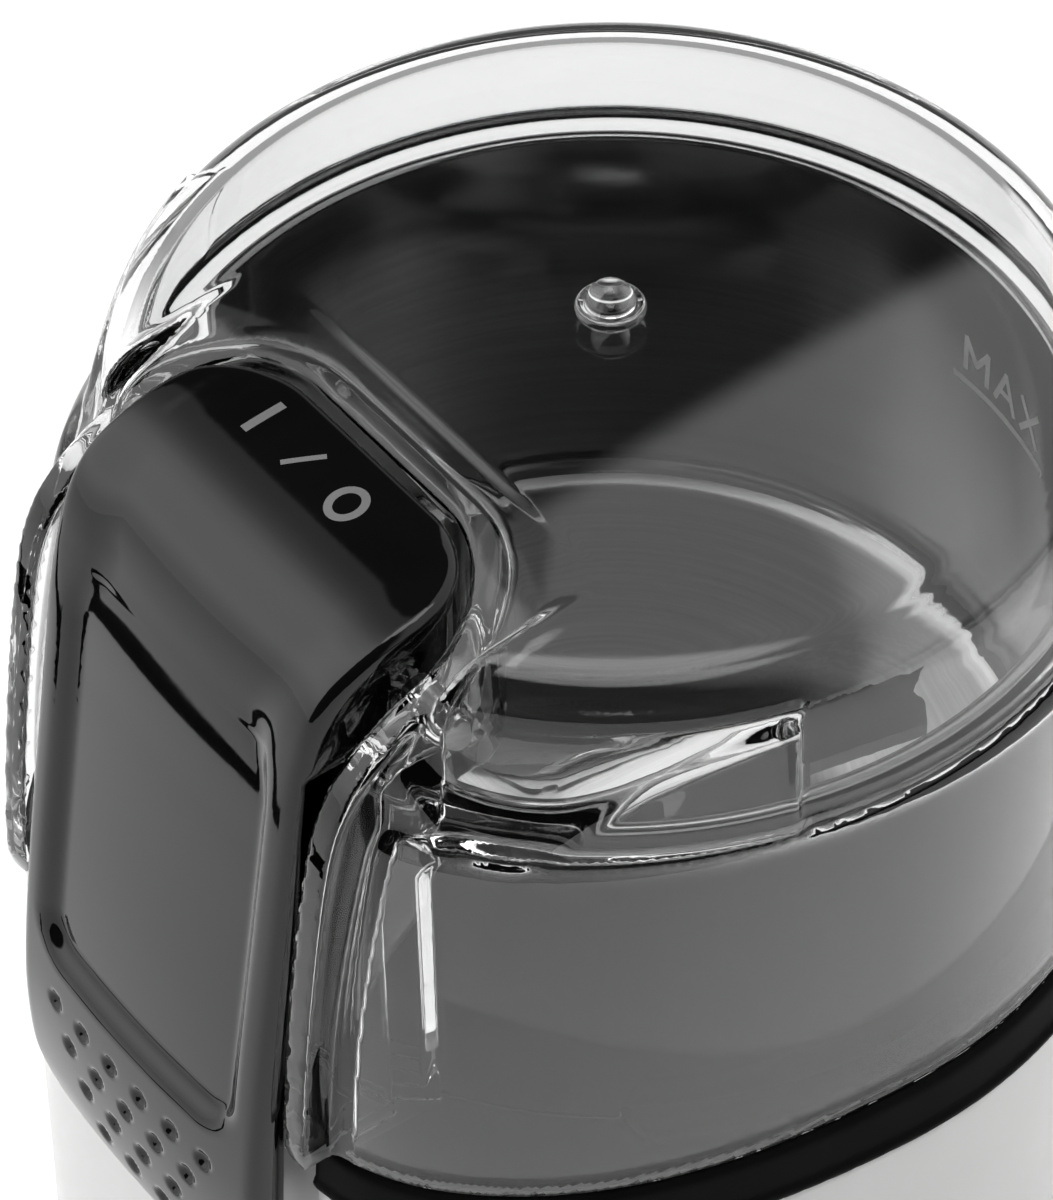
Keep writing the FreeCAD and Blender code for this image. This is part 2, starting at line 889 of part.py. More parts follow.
def front_plan(half_width, low, high, corner, y0, y1):
    """Prism along Y of a plate with round lower corners."""
    bend = corner * (1 - math.sqrt(0.5))
    a = V(-half_width, y0, lid_z(high))
    b = V(-half_width, y0, lid_z(low + corner))
    b_mid = V(-half_width + bend, y0, lid_z(low + bend))
    c = V(-half_width + corner, y0, lid_z(low))
    d = V(half_width - corner, y0, lid_z(low))
    e_mid = V(half_width - bend, y0, lid_z(low + bend))
    e = V(half_width, y0, lid_z(low + corner))
    f = V(half_width, y0, lid_z(high))
    edges = [
        Part.makeLine(a, b),
        arc(b, b_mid, c),
        Part.makeLine(c, d),
        arc(d, e_mid, e),
        Part.makeLine(e, f),
        Part.makeLine(f, a),
    ]
    return Part.Face(Part.Wire(edges)).extrude(V(0, y1 - y0, 0))


def lever_face(x, height):
    """Distance of the lever's outer face from the axis, at a place on it."""
    for (out_a, up_a), (out_b, up_b) in zip(lever_outer, lever_outer[1:]):
        if up_b <= height <= up_a:
            out = out_a + (out_b - out_a) * (height - up_a) / (up_b - up_a)
            return lid_radius + out - lever_crown * (x / lever_half_width) ** 2
    return lid_radius + lever_outer[-1][0]


def dimples():
    """Ball-shaped grip dimples in staggered rows of falling length."""
    balls = []
    for row, count in enumerate(dimple_rows):
        height = dimple_first_row - row * dimple_row_pitch
        for i in range(count):
            x = (i - (count - 1) / 2) * dimple_pitch
            out = lever_face(x, height) + dimple_radius - dimple_depth
            balls.append(Part.makeSphere(dimple_radius, V(x, -out, lid_z(height))))
    return balls


def switch_lever():
    """Press lever with a sunk thumb panel, dimples and a bored hollow head."""
    form = lever_form()
    plan = slot_plan(
        lever_half_width,
        lever_inner_end,
        lever_corner_top,
        lid_front + beyond,
        lid_z(lever_bottom - beyond),
        lid_z(dome_height + beyond),
    )
    front = front_plan(
        lever_half_width,
        lever_bottom,
        dome_height + beyond,
        lever_corner_bottom,
        -lid_front - beyond,
        -beyond,
    )
    shape = form.common(plan).common(front)
    sunk = form.copy()
    pivot = V(0, -lid_radius - panel_pivot[0], lid_z(panel_pivot[1]))
    sunk.rotate(pivot, V(1, 0, 0), panel_tilt)
    window = front_plan(
        panel_half_width,
        panel_bottom,
        panel_top,
        panel_corner,
        -lid_front - beyond,
        -lid_radius - lever_crown_centre[0],
    )
    (near, low), (far, high) = lever_hollow
    hollow = block(
        -lever_hollow_half_width,
        lever_hollow_half_width,
        -lid_radius - far,
        -lid_radius - near,
        lid_z(low),
        lid_z(high),
    )
    bore = rod_x(
        pin_radius + hinge_clearance, -lid_front, lid_front, -hinge_out, lid_z(hinge_height)
    )
    return without(shape, [window.cut(sunk), hollow, bore] + dimples())


def lever_pin():
    half = pocket_half_width + pocket_wall - pin_end_gap
    return rod_x(pin_radius, -half, half, -hinge_out, lid_z(hinge_height))


def return_spring():
    """Space of the torsion spring wound round the hinge pin."""
    y = -hinge_out
    z = lid_z(hinge_height)
    x0 = -spring_offset - spring_length / 2
    outer = rod_x(spring_out_radius, x0, x0 + spring_length, y, z)
    return outer.cut(rod_x(spring_out_radius - spring_wire, x0, x0 + spring_length, y, z))


# Switch

def lever_back(height):
    """Distance of the lever's inner face from the axis at a height."""
    for (out_a, up_a), (out_b, up_b) in zip(lever_inner, lever_inner[1:]):
        if up_a <= height <= up_b:
            return lid_radius + out_a + (out_b - out_a) * (height - up_a) / (up_b - up_a)
    return lid_radius + lever_inner[0][0]


def collar_face():
    """Distance of the plunger collar's outer face from the axis."""
    return bay_face - bay_wall - plunger_collar_gap


def switch_plunger():
    """Pin that the lever pushes in, with a collar that keeps it captive."""
    nose = lever_back(plunger_height - lid_seat_height) - plunger_lever_gap
    pin = rod_y(plunger_radius, -nose, -plunger_tail, 0, plunger_height)
    keep = rod_y(
        plunger_collar_radius,
        -collar_face(),
        -collar_face() + plunger_collar_thickness,
        0,
        plunger_height,
    )
    return joined([pin, keep])


def plunger_spring():
    """Space of the small coil spring between plunger collar and switch."""
    front = collar_face() - plunger_collar_thickness
    outer = rod_y(plunger_collar_radius, -front, -switch_front, 0, plunger_height)
    bore = plunger_collar_radius - plunger_spring_wall
    return outer.cut(rod_y(bore, -front, -switch_front, 0, plunger_height))


def switch_screw_places():
    y = -(switch_front - switch_depth / 2)
    return [(-switch_screw_pitch / 2, y), (switch_screw_pitch / 2, y)]


def microswitch_body():
    """Closed switch block under the upper bracket."""
    high = bracket_flange_bottom
    low = switch_bottom
    back = -(switch_front - switch_depth)
    case = block(-switch_half_width, switch_half_width, -switch_front, back, low, high)
    extras = [rod_y(button_radius, -switch_front - button_height, -switch_front, 0, plunger_height)]
    for x in (-tab_pitch, 0.0, tab_pitch):
        tab_back = back - tab_half
        extras.append(block(x - tab_half, x + tab_half, tab_back - tab_half, tab_back, low - tab_length, low))
    bores = []
    for x, y in switch_screw_places():
        bores.append(post(screw_radius + screw_clearance, low, high, x, y))
    return without(joined([case] + extras), bores)


def switch_screws():
    group = []
    low = switch_bottom
    tip = bracket_flange_bottom + bracket_flange_thickness
    for x, y in switch_screw_places():
        group.append(screw(x, y, low - screw_head_height, low, tip))
    return Part.makeCompound(group)


# Motor frame

def leg_places():
    return [(x, y) for x in (-leg_x, leg_x) for y in (-leg_y, leg_y)]


def pad_top():
    return bowl_underside - gasket_thickness


def upper_bracket():
    """Motor plate under the bowl: flange, raised pad, bearing hub and four legs."""
    flange_top = bracket_flange_bottom + bracket_flange_thickness
    solids = [
        post(bracket_flange_radius, bracket_flange_bottom, flange_top),
        post(bracket_pad_radius, bracket_flange_bottom, pad_top()),
        post(hub_radius, hub_bottom, bowl_floor + hub_above_floor),
    ]
    for x, y in leg_places():
        solids.append(post(leg_radius, stator_top, flange_top, x, y))
    cuts = [
        post(bearing_radius, upper_bearing_bottom, bowl_floor + hub_above_floor),
        post(shaft_radius + hub_hole_gap, hub_bottom, upper_bearing_bottom),
    ]
    for x, y in leg_places():
        bite_top = stator_top + stator_screw_bite + screw_end
        cuts.append(post(screw_radius + screw_clearance, stator_top, bite_top, x, y))
    for angle in mount_angles:
        x, y = around(mount_circle, angle)
        cuts.append(post(screw_radius + screw_clearance, bracket_flange_bottom, flange_top, x, y))
    for x, y in switch_screw_places():
        cuts.append(post(screw_radius + screw_clearance, bracket_flange_bottom, flange_top, x, y))
    return without(joined(solids), cuts)


def motor_mounts():
    """Four rubber bushes between the body's ledge and the bracket."""
    group = []
    for angle in mount_angles:
        x, y = around(mount_circle, angle)
        group.append(
            tube(mount_radius, screw_radius + screw_clearance, ledge_top, bracket_flange_bottom, x, y)
        )
    reach = post(bracket_flange_radius, ledge_top, bracket_flange_bottom)
    return Part.makeCompound([bush.common(reach) for bush in group])


def bracket_screws():
    group = []
    flange_top = bracket_flange_bottom + bracket_flange_thickness
    for angle in mount_angles:
        x, y = around(mount_circle, angle)
        tip = ledge_bottom
        group.append(screw(x, y, flange_top, flange_top + screw_head_height, tip))
    return Part.makeCompound(group)


def bearing(low, length):
    """Sleeve bearing with a running fit on the shaft."""
    return tube(bearing_radius, shaft_radius + shaft_clearance, low, low + length)


def upper_bearing():
    return bearing(upper_bearing_bottom, upper_bearing_length)


def lower_bearing():
    return bearing(lower_bearing_bottom, lower_bearing_length)


def shaft_seal():
    """Lip seal in the hub's mouth, which keeps powder out of the bearing."""
    top = bowl_floor + hub_above_floor
    return tube(bearing_radius, shaft_radius + shaft_clearance, top - seal_length, top)


def lower_bracket():
    """Plate that carries the lower bearing and the brushes, on four legs."""
    high = lower_plate_bottom + lower_plate_thickness
    plate = block(-lower_plate_x, lower_plate_x, -lower_plate_y, lower_plate_y, lower_plate_bottom, high)
    window = stator_half_y - yoke_thickness
    window_half = leg_x - leg_radius - window_margin
    solids = [plate, post(lower_hub_radius, lower_hub_bottom, high)]
    for x, y in leg_places():
        solids.append(post(leg_radius, lower_plate_bottom, stator_bottom, x, y))
    shelf = brush_height - brush_half - holder_wall
    for side in (-1, 1):
        x0, x1 = sorted((side * holder_start, side * holder_end))
        solids.append(block(x0, x1, -brush_half, brush_half, high, shelf))
    cuts = [
        post(bearing_radius, lower_bearing_bottom, high),
        post(shaft_radius + hub_hole_gap, lower_hub_bottom, lower_bearing_bottom),
    ]
    for x, y in leg_places():
        cuts.append(post(screw_radius + screw_clearance, lower_plate_bottom, stator_bottom, x, y))
    for side in (-1, 1):
        y0, y1 = sorted((side * (lower_hub_radius + window_margin), side * window))
        cuts.append(block(-window_half, window_half, y0, y1, lower_plate_bottom, high))
    return without(joined(solids), cuts)


def stator_screws():
    """Four long screws that clamp the stator between both brackets."""
    group = []
    tip = stator_top + stator_screw_bite
    for x, y in leg_places():
        group.append(screw(x, y, lower_plate_bottom - screw_head_height, lower_plate_bottom, tip))
    return Part.makeCompound(group)


# Motor

def motor_stator():
    """Laminated stack with two curved pole shoes on the X axis."""
    top = stator_top
    stack = block(-stator_half_x, stator_half_x, -stator_half_y, stator_half_y, stator_bottom, top)
    upright = [e for e in stack.Edges if abs(e.tangentAt(e.FirstParameter).z) > nearly_one]
    stack = stack.makeFillet(stator_corner, upright)
    in_x = stator_half_x - yoke_thickness
    in_y = stator_half_y - yoke_thickness
    window = block(-in_x, in_x, -in_y, in_y, stator_bottom, top)
    bore = armature_radius + air_gap
    poles = block(-in_x, in_x, -pole_half_width, pole_half_width, stator_bottom, top)
    shoes = tube(bore + shoe_thickness, bore, stator_bottom, top)
    reach = (bore + shoe_thickness) * 2
    spread = reach * math.tan(shoe_angle)
    fan_out = [V(0, 0, 0), V(reach, spread, 0), V(reach, -spread, 0), V(0, 0, 0)]
    wedge = Part.Face(Part.makePolygon(fan_out)).extrude(V(0, 0, top))
    other = wedge.mirror(V(0, 0, 0), V(1, 0, 0))
    inside = joined([poles, shoes.common(wedge), shoes.common(other)])
    inside = inside.cut(post(bore, stator_bottom, top))
    shape = joined([stack.cut(window), inside])
    holes = []
    for x, y in leg_places():
        holes.append(post(screw_radius + screw_clearance, stator_bottom, top, x, y))
    return without(shape, holes)


def field_coil(side):
    """Racetrack coil wound round one stator pole."""
    in_x = stator_half_x - yoke_thickness - coil_gap
    x0, x1 = sorted((side * (in_x - coil_thickness), side * in_x))
    half = pole_half_width + coil_gap
    low = stator_bottom - coil_gap
    high = stator_top + coil_gap
    outer = block(
        x0, x1, -half - coil_width, half + coil_width, low - winding_height, high + winding_height
    )
    along = [e for e in outer.Edges if abs(e.tangentAt(e.FirstParameter).x) > nearly_one]
    outer = outer.makeFillet(coil_round, along)
    inner = block(x0, x1, -half, half, low, high)
    shoe = post(armature_radius + air_gap + shoe_thickness + coil_gap, low, high)
    return without(outer, [inner, shoe])


def rotor_shaft():
    top = lid_seat_height + blade_above_seat + blade_thickness + blade_nut_height + shaft_end
    return post(shaft_radius, shaft_bottom, top)


def armature_core():
    """Slotted stack pressed on the shaft."""
    top = stator_top
    core = tube(armature_radius, shaft_radius, stator_bottom, top)
    slots = []
    for i in range(armature_slots):
        slot = block(
            armature_radius - slot_depth,
            armature_radius + beyond,
            -slot_width / 2,
            slot_width / 2,
            stator_bottom,
            top,
        )
        slot.rotate(V(0, 0, 0), V(0, 0, 1), i * 360 / armature_slots)
        slots.append(slot)
    return without(core, slots)


def armature_winding():
    """Coil heads at both ends of the core, rounded like wound wire."""
    top = stator_top
    heads = []
    for low, high in ((stator_bottom - winding_height, stator_bottom), (top, top + winding_height)):
        ring = tube(winding_radius, shaft_radius, low, high)
        round_edges = [e for e in ring.Edges if abs(e.Length - FULL_TURN * winding_radius) < coil_gap]
        heads.append(ring.makeFillet(winding_round, round_edges))
    return Part.makeCompound(heads)


def commutator():
    """Copper segments with slots between them, on a plain core."""
    top = commutator_bottom + commutator_height
    ring = tube(commutator_radius, shaft_radius, commutator_bottom, top)
    slots = []
    for i in range(commutator_bars):
        slot = block(
            commutator_radius - commutator_slot_depth,
            commutator_radius + beyond,
            -commutator_slot / 2,
            commutator_slot / 2,
            commutator_bottom,
            top,
        )
        slot.rotate(V(0, 0, 0), V(0, 0, 1), i * 360 / commutator_bars)
        slots.append(slot)
    return without(ring, slots)


def cooling_fan():
    """Radial fan: a hub and a plate with upright blades under it."""
    top = fan_bottom + fan_height
    solids = [
        post(fan_hub_radius, fan_bottom, top),
        post(fan_radius, top - fan_plate, top),
    ]
    for i in range(fan_blades):
        wing = block(
            fan_hub_radius - fan_plate,
            fan_radius - fan_plate,
            -fan_blade_thickness / 2,
            fan_blade_thickness / 2,
            fan_bottom,
            top - fan_plate / 2,
        )
        wing.rotate(V(0, 0, 0), V(0, 0, 1), i * 360 / fan_blades)
        solids.append(wing)
    return joined(solids).cut(post(shaft_radius, fan_bottom, top))


def brush_holder(side):
    """Square guide tube for one carbon brush."""
    x0, x1 = sorted((side * holder_start, side * holder_end))
    half = brush_half + holder_wall
    outer = block(x0, x1, -half, half, brush_height - half, brush_height + half)
    inner = brush_half + holder_clearance
    stop = side * (holder_end - holder_wall)
    y0, y1 = sorted((side * (holder_start - holder_wall), stop))
    return outer.cut(block(y0, y1, -inner, inner, brush_height - inner, brush_height + inner))


def carbon_brush(side):
    start = commutator_radius + brush_gap
    x0, x1 = sorted((side * start, side * (start + brush_length)))
    return block(
        x0, x1, -brush_half, brush_half, brush_height - brush_half, brush_height + brush_half
    )


def brush_spring(side):
    """Space of the coil spring behind a brush."""
    start = commutator_radius + brush_gap + brush_length
    x0, x1 = sorted((side * start, side * (holder_end - holder_wall)))
    outer = rod_x(brush_spring_radius, x0, x1, 0, brush_height)
    return outer.cut(rod_x(brush_spring_bore, x0, x1, 0, brush_height))


# Blade

def blade_bottom():
    return lid_seat_height + blade_above_seat


def blade_wing(side):
    """One tapered wing: flat near the hub, then bent up towards its tip."""
    low = blade_bottom()
    sections = []
    bend = (blade_flat_half + blade_bend, blade_bend_share)
    stations = ((0.0, 0.0), (blade_flat_half, 0.0), bend, (blade_half_length, 1.0))
    for reach, share in stations:
        taper = reach / blade_half_length
        half = blade_half_width + (blade_tip_half_width - blade_half_width) * taper
        rise = blade_tip_rise * max(0.0, reach - blade_flat_half) / (blade_half_length - blade_flat_half)
        lift = half * math.tan(blade_twist) * share
        corners = [
            V(side * reach, side * half, low + rise),
            V(side * reach, -side * half, low + rise + lift),
            V(side * reach, -side * half, low + rise + lift + blade_thickness),
            V(side * reach, side * half, low + rise + blade_thickness),
        ]
        corners.append(corners[0])
        sections.append(Part.makePolygon(corners))
    return Part.makeLoft(sections, True, True)


def blade():
    """Two-winged blade whose tips are bent up and twisted."""
    low = blade_bottom()
    hub = post(blade_half_width + blade_hub_extra, low, low + blade_thickness)
    shape = joined([hub, blade_wing(1), blade_wing(-1)])
    shape = shape.cut(post(shaft_radius, low, low + blade_thickness))
    shape.rotate(V(0, 0, 0), V(0, 0, 1), math.degrees(blade_rest_angle))
    return shape


def blade_washer():
    """Spacer that the blade sits on, just above the seal."""
    low = bowl_floor + hub_above_floor + hub_gap
    return tube(washer_radius, shaft_radius, low, blade_bottom())


def blade_nut():
    """Hexagon nut with a round dome, closed over the end of the shaft."""
    low = blade_bottom() + blade_thickness
    high = low + blade_nut_height
    corners = [V(*around(blade_nut_radius, 60 * i), low) for i in range(7)]
    hexagon = Part.Face(Part.makePolygon(corners)).extrude(V(0, 0, high - low))
    cap_radius = blade_nut_radius - 2 * nut_round
    cap = post(cap_radius, low, high).fuse(Part.makeSphere(cap_radius, V(0, 0, high - cap_radius / 2)))
    cap = cap.common(post(cap_radius, low, high + cap_radius))
    return joined([hexagon, cap]).cut(rotor_shaft())


NODES = {
    "housing": housing,
    "base_plate": base_plate,
    "feet": feet,
    "base_screws": base_screws,
    "cord_gland": cord_gland,
    "collar_ring": collar_ring,
    "grinding_bowl": grinding_bowl,
    "bowl_gasket": bowl_gasket,
    "bowl_nut": bowl_nut,
    "upper_bracket": upper_bracket,
    "motor_mounts": motor_mounts,
    "bracket_screws": bracket_screws,
    "upper_bearing": upper_bearing,
    "lower_bearing": lower_bearing,
    "shaft_seal": shaft_seal,
    "lower_bracket": lower_bracket,
    "stator_screws": stator_screws,
    "motor_stator": motor_stator,
    "field_coil_left": lambda: field_coil(-1),
    "field_coil_right": lambda: field_coil(1),
    "brush_holder_left": lambda: brush_holder(-1),
    "brush_holder_right": lambda: brush_holder(1),
    "carbon_brush_left": lambda: carbon_brush(-1),
    "carbon_brush_right": lambda: carbon_brush(1),
    "brush_spring_left": lambda: brush_spring(-1),
    "brush_spring_right": lambda: brush_spring(1),
    "microswitch_body": microswitch_body,
    "switch_screws": switch_screws,
    "switch_plunger": switch_plunger,
    "plunger_spring": plunger_spring,
    "lid": lid,
    "switch_lever": switch_lever,
    "lever_pin": lever_pin,
    "return_spring": return_spring,
    "rotor_shaft": rotor_shaft,
    "armature_core": armature_core,
    "armature_winding": armature_winding,
    "commutator": commutator,
    "cooling_fan": cooling_fan,
    "blade": blade,
    "blade_washer": blade_washer,
    "blade_nut": blade_nut,
}

os.makedirs("parts", exist_ok=True)
for name, make in NODES.items():
    shape = make()
    shape.exportStep("parts/" + name + ".step")
    print(name, len(shape.Solids), round(shape.Volume), shape.isValid())
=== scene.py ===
import math

import bpy
import numpy as np
from mathutils import Matrix, Vector


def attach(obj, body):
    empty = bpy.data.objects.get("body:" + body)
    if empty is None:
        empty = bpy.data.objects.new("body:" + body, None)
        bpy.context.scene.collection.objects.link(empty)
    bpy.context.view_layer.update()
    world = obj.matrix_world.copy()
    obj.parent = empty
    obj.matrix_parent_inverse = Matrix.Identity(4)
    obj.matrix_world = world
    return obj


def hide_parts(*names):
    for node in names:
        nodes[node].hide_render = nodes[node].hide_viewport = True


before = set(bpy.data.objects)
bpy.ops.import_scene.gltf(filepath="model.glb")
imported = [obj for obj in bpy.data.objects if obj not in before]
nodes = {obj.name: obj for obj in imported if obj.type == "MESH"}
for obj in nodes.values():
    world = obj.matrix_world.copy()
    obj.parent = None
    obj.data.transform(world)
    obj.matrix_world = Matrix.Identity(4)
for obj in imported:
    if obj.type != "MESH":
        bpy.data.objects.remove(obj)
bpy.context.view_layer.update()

# Dressing of an electric spice grinder. Shapes are worked out in millimetres in the
# row frame and turned into metres when a mesh is made. "out" is the distance from the
# blade's axis towards the lever. In the fields of lid, lever and collar z counts from
# SEAT, and so do the heights named for them.

MM = 0.001
SEAT = 119.0  # the lid's lower edge above the table


# Camera

def make_camera():
    """The photograph's viewpoint: half a metre from the lid, looking down on it."""
    distance, elevation = 500.0, 0.8279025
    yaw, pitch, turn = 0.0146634, -0.0263861, math.radians(52.3)
    focal_pixels, frame_height = 5739.96, 1200
    place = Vector((0, -distance * math.cos(elevation), distance * math.sin(elevation)))
    forward = -place.normalized()
    right = Vector((1, 0, 0))
    up = right.cross(forward)
    base = Matrix((right, -up, forward))
    rows = Matrix.Rotation(pitch, 3, "X") @ Matrix.Rotation(yaw, 3, "Y") @ base
    spin = Matrix.Rotation(turn, 3, "Z")
    axes = Matrix((spin @ rows[0], -(spin @ rows[1]), -(spin @ rows[2]))).transposed()
    data = bpy.data.cameras.new("camera")
    data.sensor_width = 36.0
    data.lens = focal_pixels * data.sensor_width / frame_height
    data.clip_start = 0.01
    data.clip_end = 20
    camera = bpy.data.objects.new("camera", data)
    bpy.context.scene.collection.objects.link(camera)
    where = (spin @ place + Vector((0, 0, SEAT))) * MM
    camera.matrix_world = Matrix.Translation(where) @ axes.to_4x4()
    bpy.context.scene.camera = camera


make_camera()


# Distance fields

def smax(a, b, k):
    """The larger of two fields, with the edge between them rounded over k."""
    h = np.maximum(k - np.abs(a - b), 0) / k
    return np.maximum(a, b) + h * h * k * 0.25


def smin(a, b, k):
    """The smaller of two fields, with the edge between them rounded over k."""
    return -smax(-a, -b, k)


def smooth(t):
    """Goes softly from 0 to 1 as t does."""
    t = np.clip(t, 0, 1)
    return t * t * (3 - 2 * t)


def slab(a, b, half_a, half_b, corner):
    """Distance to a rectangle with round corners, about the origin."""
    qa = np.abs(a) - (half_a - corner)
    qb = np.abs(b) - (half_b - corner)
    outside = np.hypot(np.maximum(qa, 0), np.maximum(qb, 0))
    return outside + np.minimum(np.maximum(qa, qb), 0) - corner


def slot(x, out, half, start, corner):
    """Distance to a long slot in plan whose round-cornered end is at start."""
    half_length = 60
    return slab(x, out - start - half_length, half, half_length, corner)


def plan(angle, radius, bulge, front):
    """Radius of the oval outline at an angle from the lever's direction.

    The circle swells by bulge towards the lever and is cut flat there at front."""
    swell_from, swell_over = math.radians(25), math.radians(60)
    share = np.clip((np.abs(angle) - swell_from) / swell_over, 0, 1)
    swollen = radius + bulge * (1 + np.cos(np.pi * share)) / 2
    flat_to, power = 0.5, 24.0
    facing = np.maximum(np.cos(angle), flat_to)
    flat = front / facing
    both = (swollen ** -power + flat ** -power) ** (-1 / power)
    return np.where(np.cos(angle) > flat_to, both, swollen)


def smooth_table(pairs, width, count=400):
    """Dense, softened copy of a short table, for smooth lookups."""
    xs = np.array([p[0] for p in pairs], float)
    ys = np.array([p[1] for p in pairs], float)
    fine = np.linspace(xs[0], xs[-1], count)
    values = np.interp(fine, xs, ys)
    reach = max(1, int(width / (fine[1] - fine[0])))
    kernel = np.hanning(2 * reach + 3)
    kernel /= kernel.sum()
    padded = np.pad(values, reach + 1, mode="reflect", reflect_type="odd")
    return fine, np.convolve(padded, kernel, mode="valid")


def spline_points(points, per=14):
    """Points of a smooth curve through the given ones."""
    p = np.array(points, float)
    p = np.vstack([2 * p[0] - p[1], p, 2 * p[-1] - p[-2]])
    out = []
    for i in range(1, len(p) - 2):
        t = np.linspace(0, 1, per, endpoint=False)[:, None]
        a, b, c, d = p[i - 1], p[i], p[i + 1], p[i + 2]
        square, cube = 2 * a - 5 * b + 4 * c - d, 3 * b - a - 3 * c + d
        out.append(0.5 * (2 * b + (c - a) * t + square * t ** 2 + cube * t ** 3))
    out.append(p[-2][None, :])
    return np.vstack(out)


class Profile:
    """Signed distance to a side curve, looked up from a table. Inside is negative."""

    def __init__(self, curve, closing, low, high, step=0.2):
        loop = np.vstack([curve, np.array(closing, float)])
        self.low, self.step = np.array(low, float), step
        self.size = [int((b - a) / step) + 1 for a, b in zip(low, high)]
        columns = low[0] + step * np.arange(self.size[0])
        rows = low[1] + step * np.arange(self.size[1])
        a, z = np.meshgrid(columns, rows, indexing="ij")
        best = np.full(a.shape, 1e9)
        for p, q in zip(curve[:-1], curve[1:]):
            d = q - p
            t = np.clip(((a - p[0]) * d[0] + (z - p[1]) * d[1]) / (d @ d), 0, 1)
            best = np.minimum(best, np.hypot(a - p[0] - t * d[0], z - p[1] - t * d[1]))
        odd = np.zeros(a.shape, bool)
        for p, q in zip(loop, np.roll(loop, -1, axis=0)):
            if p[1] == q[1]:
                continue
            crosses = (p[1] > z) != (q[1] > z)
            odd ^= crosses & (a < p[0] + (z - p[1]) * (q[0] - p[0]) / (q[1] - p[1]))
        self.table = np.where(odd, -best, best)

    def __call__(self, a, z):
        i = np.clip((a - self.low[0]) / self.step, 0, self.size[0] - 1.001)
        j = np.clip((z - self.low[1]) / self.step, 0, self.size[1] - 1.001)
        i0, j0 = i.astype(np.int32), j.astype(np.int32)
        fi, fj = i - i0, j - j0
        t = self.table
        near = t[i0, j0] * (1 - fi) + t[i0 + 1, j0] * fi
        far = t[i0, j0 + 1] * (1 - fi) + t[i0 + 1, j0 + 1] * fi
        return near * (1 - fj) + far * fj


# Meshes

def link(name, mesh):
    obj = bpy.data.objects.new(name, mesh)
    bpy.context.scene.collection.objects.link(obj)
    return obj


def new_mesh(name, verts, faces):
    """Smooth-shaded object from points in millimetres and index lists."""
    mesh = bpy.data.meshes.new(name)
    mesh.from_pydata((np.asarray(verts, float) * MM).tolist(), [], [list(f) for f in faces])
    mesh.polygons.foreach_set("use_smooth", [True] * len(mesh.polygons))
    mesh.update()
    return link(name, mesh)


def field_mesh(name, field, low, high, step):
    """Mesh of a field's zero surface: one point per mixed cell, pulled onto the surface."""
    slices, pulls = 24, 4
    low = np.array(low, float)
    count = [int(math.ceil((b - a) / step)) + 1 for a, b in zip(low, high)]
    axes = [low[i] + step * np.arange(count[i]) for i in range(3)]
    vals = np.empty(count, np.float32)
    for start in range(0, count[0], slices):
        grid = np.meshgrid(axes[0][start:start + slices], axes[1], axes[2], indexing="ij")
        vals[start:start + slices] = field(*grid)
    inside = vals < 0
    nx, ny, nz = (c - 1 for c in count)
    total = np.zeros((nx, ny, nz), np.int8)
    for i in (0, 1):
        for j in (0, 1):
            for k in (0, 1):
                total += inside[i:nx + i, j:ny + j, k:nz + k]
    mixed = (total > 0) & (total < 8)
    cells = np.argwhere(mixed)
    index = np.full(mixed.shape, -1, np.int64)
    index[mixed] = np.arange(len(cells))
    pos = np.zeros((len(cells), 3))
    hits = np.zeros(len(cells))
    for axis in range(3):
        others = [a for a in range(3) if a != axis]
        for i in (0, 1):
            for j in (0, 1):
                start = np.zeros(3, int)
                start[others[0]], start[others[1]] = i, j
                end = start.copy()
                end[axis] = 1
                v0 = vals[tuple((cells + start).T)]
                v1 = vals[tuple((cells + end).T)]
                crossed = (v0 < 0) != (v1 < 0)
                t = v0[crossed] / (v0[crossed] - v1[crossed])
                point = (cells[crossed] + start).astype(float)
                point[:, axis] += t
                pos[crossed] += point
                hits[crossed] += 1
    verts = low + pos / hits[:, None] * step
    reach = step * 0.08
    for _ in range(pulls):
        value = field(*verts.T)
        slope = np.stack([
            (field(*(verts + d).T) - field(*(verts - d).T)) / (2 * reach)
            for d in np.eye(3) * reach
        ], axis=1)
        move = slope * (value / np.maximum((slope ** 2).sum(1), 0.2))[:, None]
        size = np.linalg.norm(move, axis=1, keepdims=True)
        verts -= move * np.minimum(1, 0.4 * step / np.maximum(size, 1e-9))
    faces = []
    for axis in range(3):
        a, b = [o for o in range(3) if o != axis]
        first = [slice(1, -1)] * 3
        second = [slice(1, -1)] * 3
        first[axis] = slice(0, count[axis] - 1)
        second[axis] = slice(1, count[axis])
        s0, s1 = inside[tuple(first)], inside[tuple(second)]
        edges = np.argwhere(s0 != s1)
        flip = s0[tuple(edges.T)]
        edges[:, a] += 1
        edges[:, b] += 1
        corners = []
        for da, db in ((-1, -1), (0, -1), (0, 0), (-1, 0)):
            cell = edges.copy()
            cell[:, a] += da
            cell[:, b] += db
            corners.append(index[tuple(cell.T)])
        quad = np.stack(corners, axis=1)
        turned = flip if axis != 1 else ~flip
        quad[~turned] = quad[~turned][:, ::-1]
        faces.append(quad)
    return new_mesh(name, verts, np.vstack(faces).tolist())


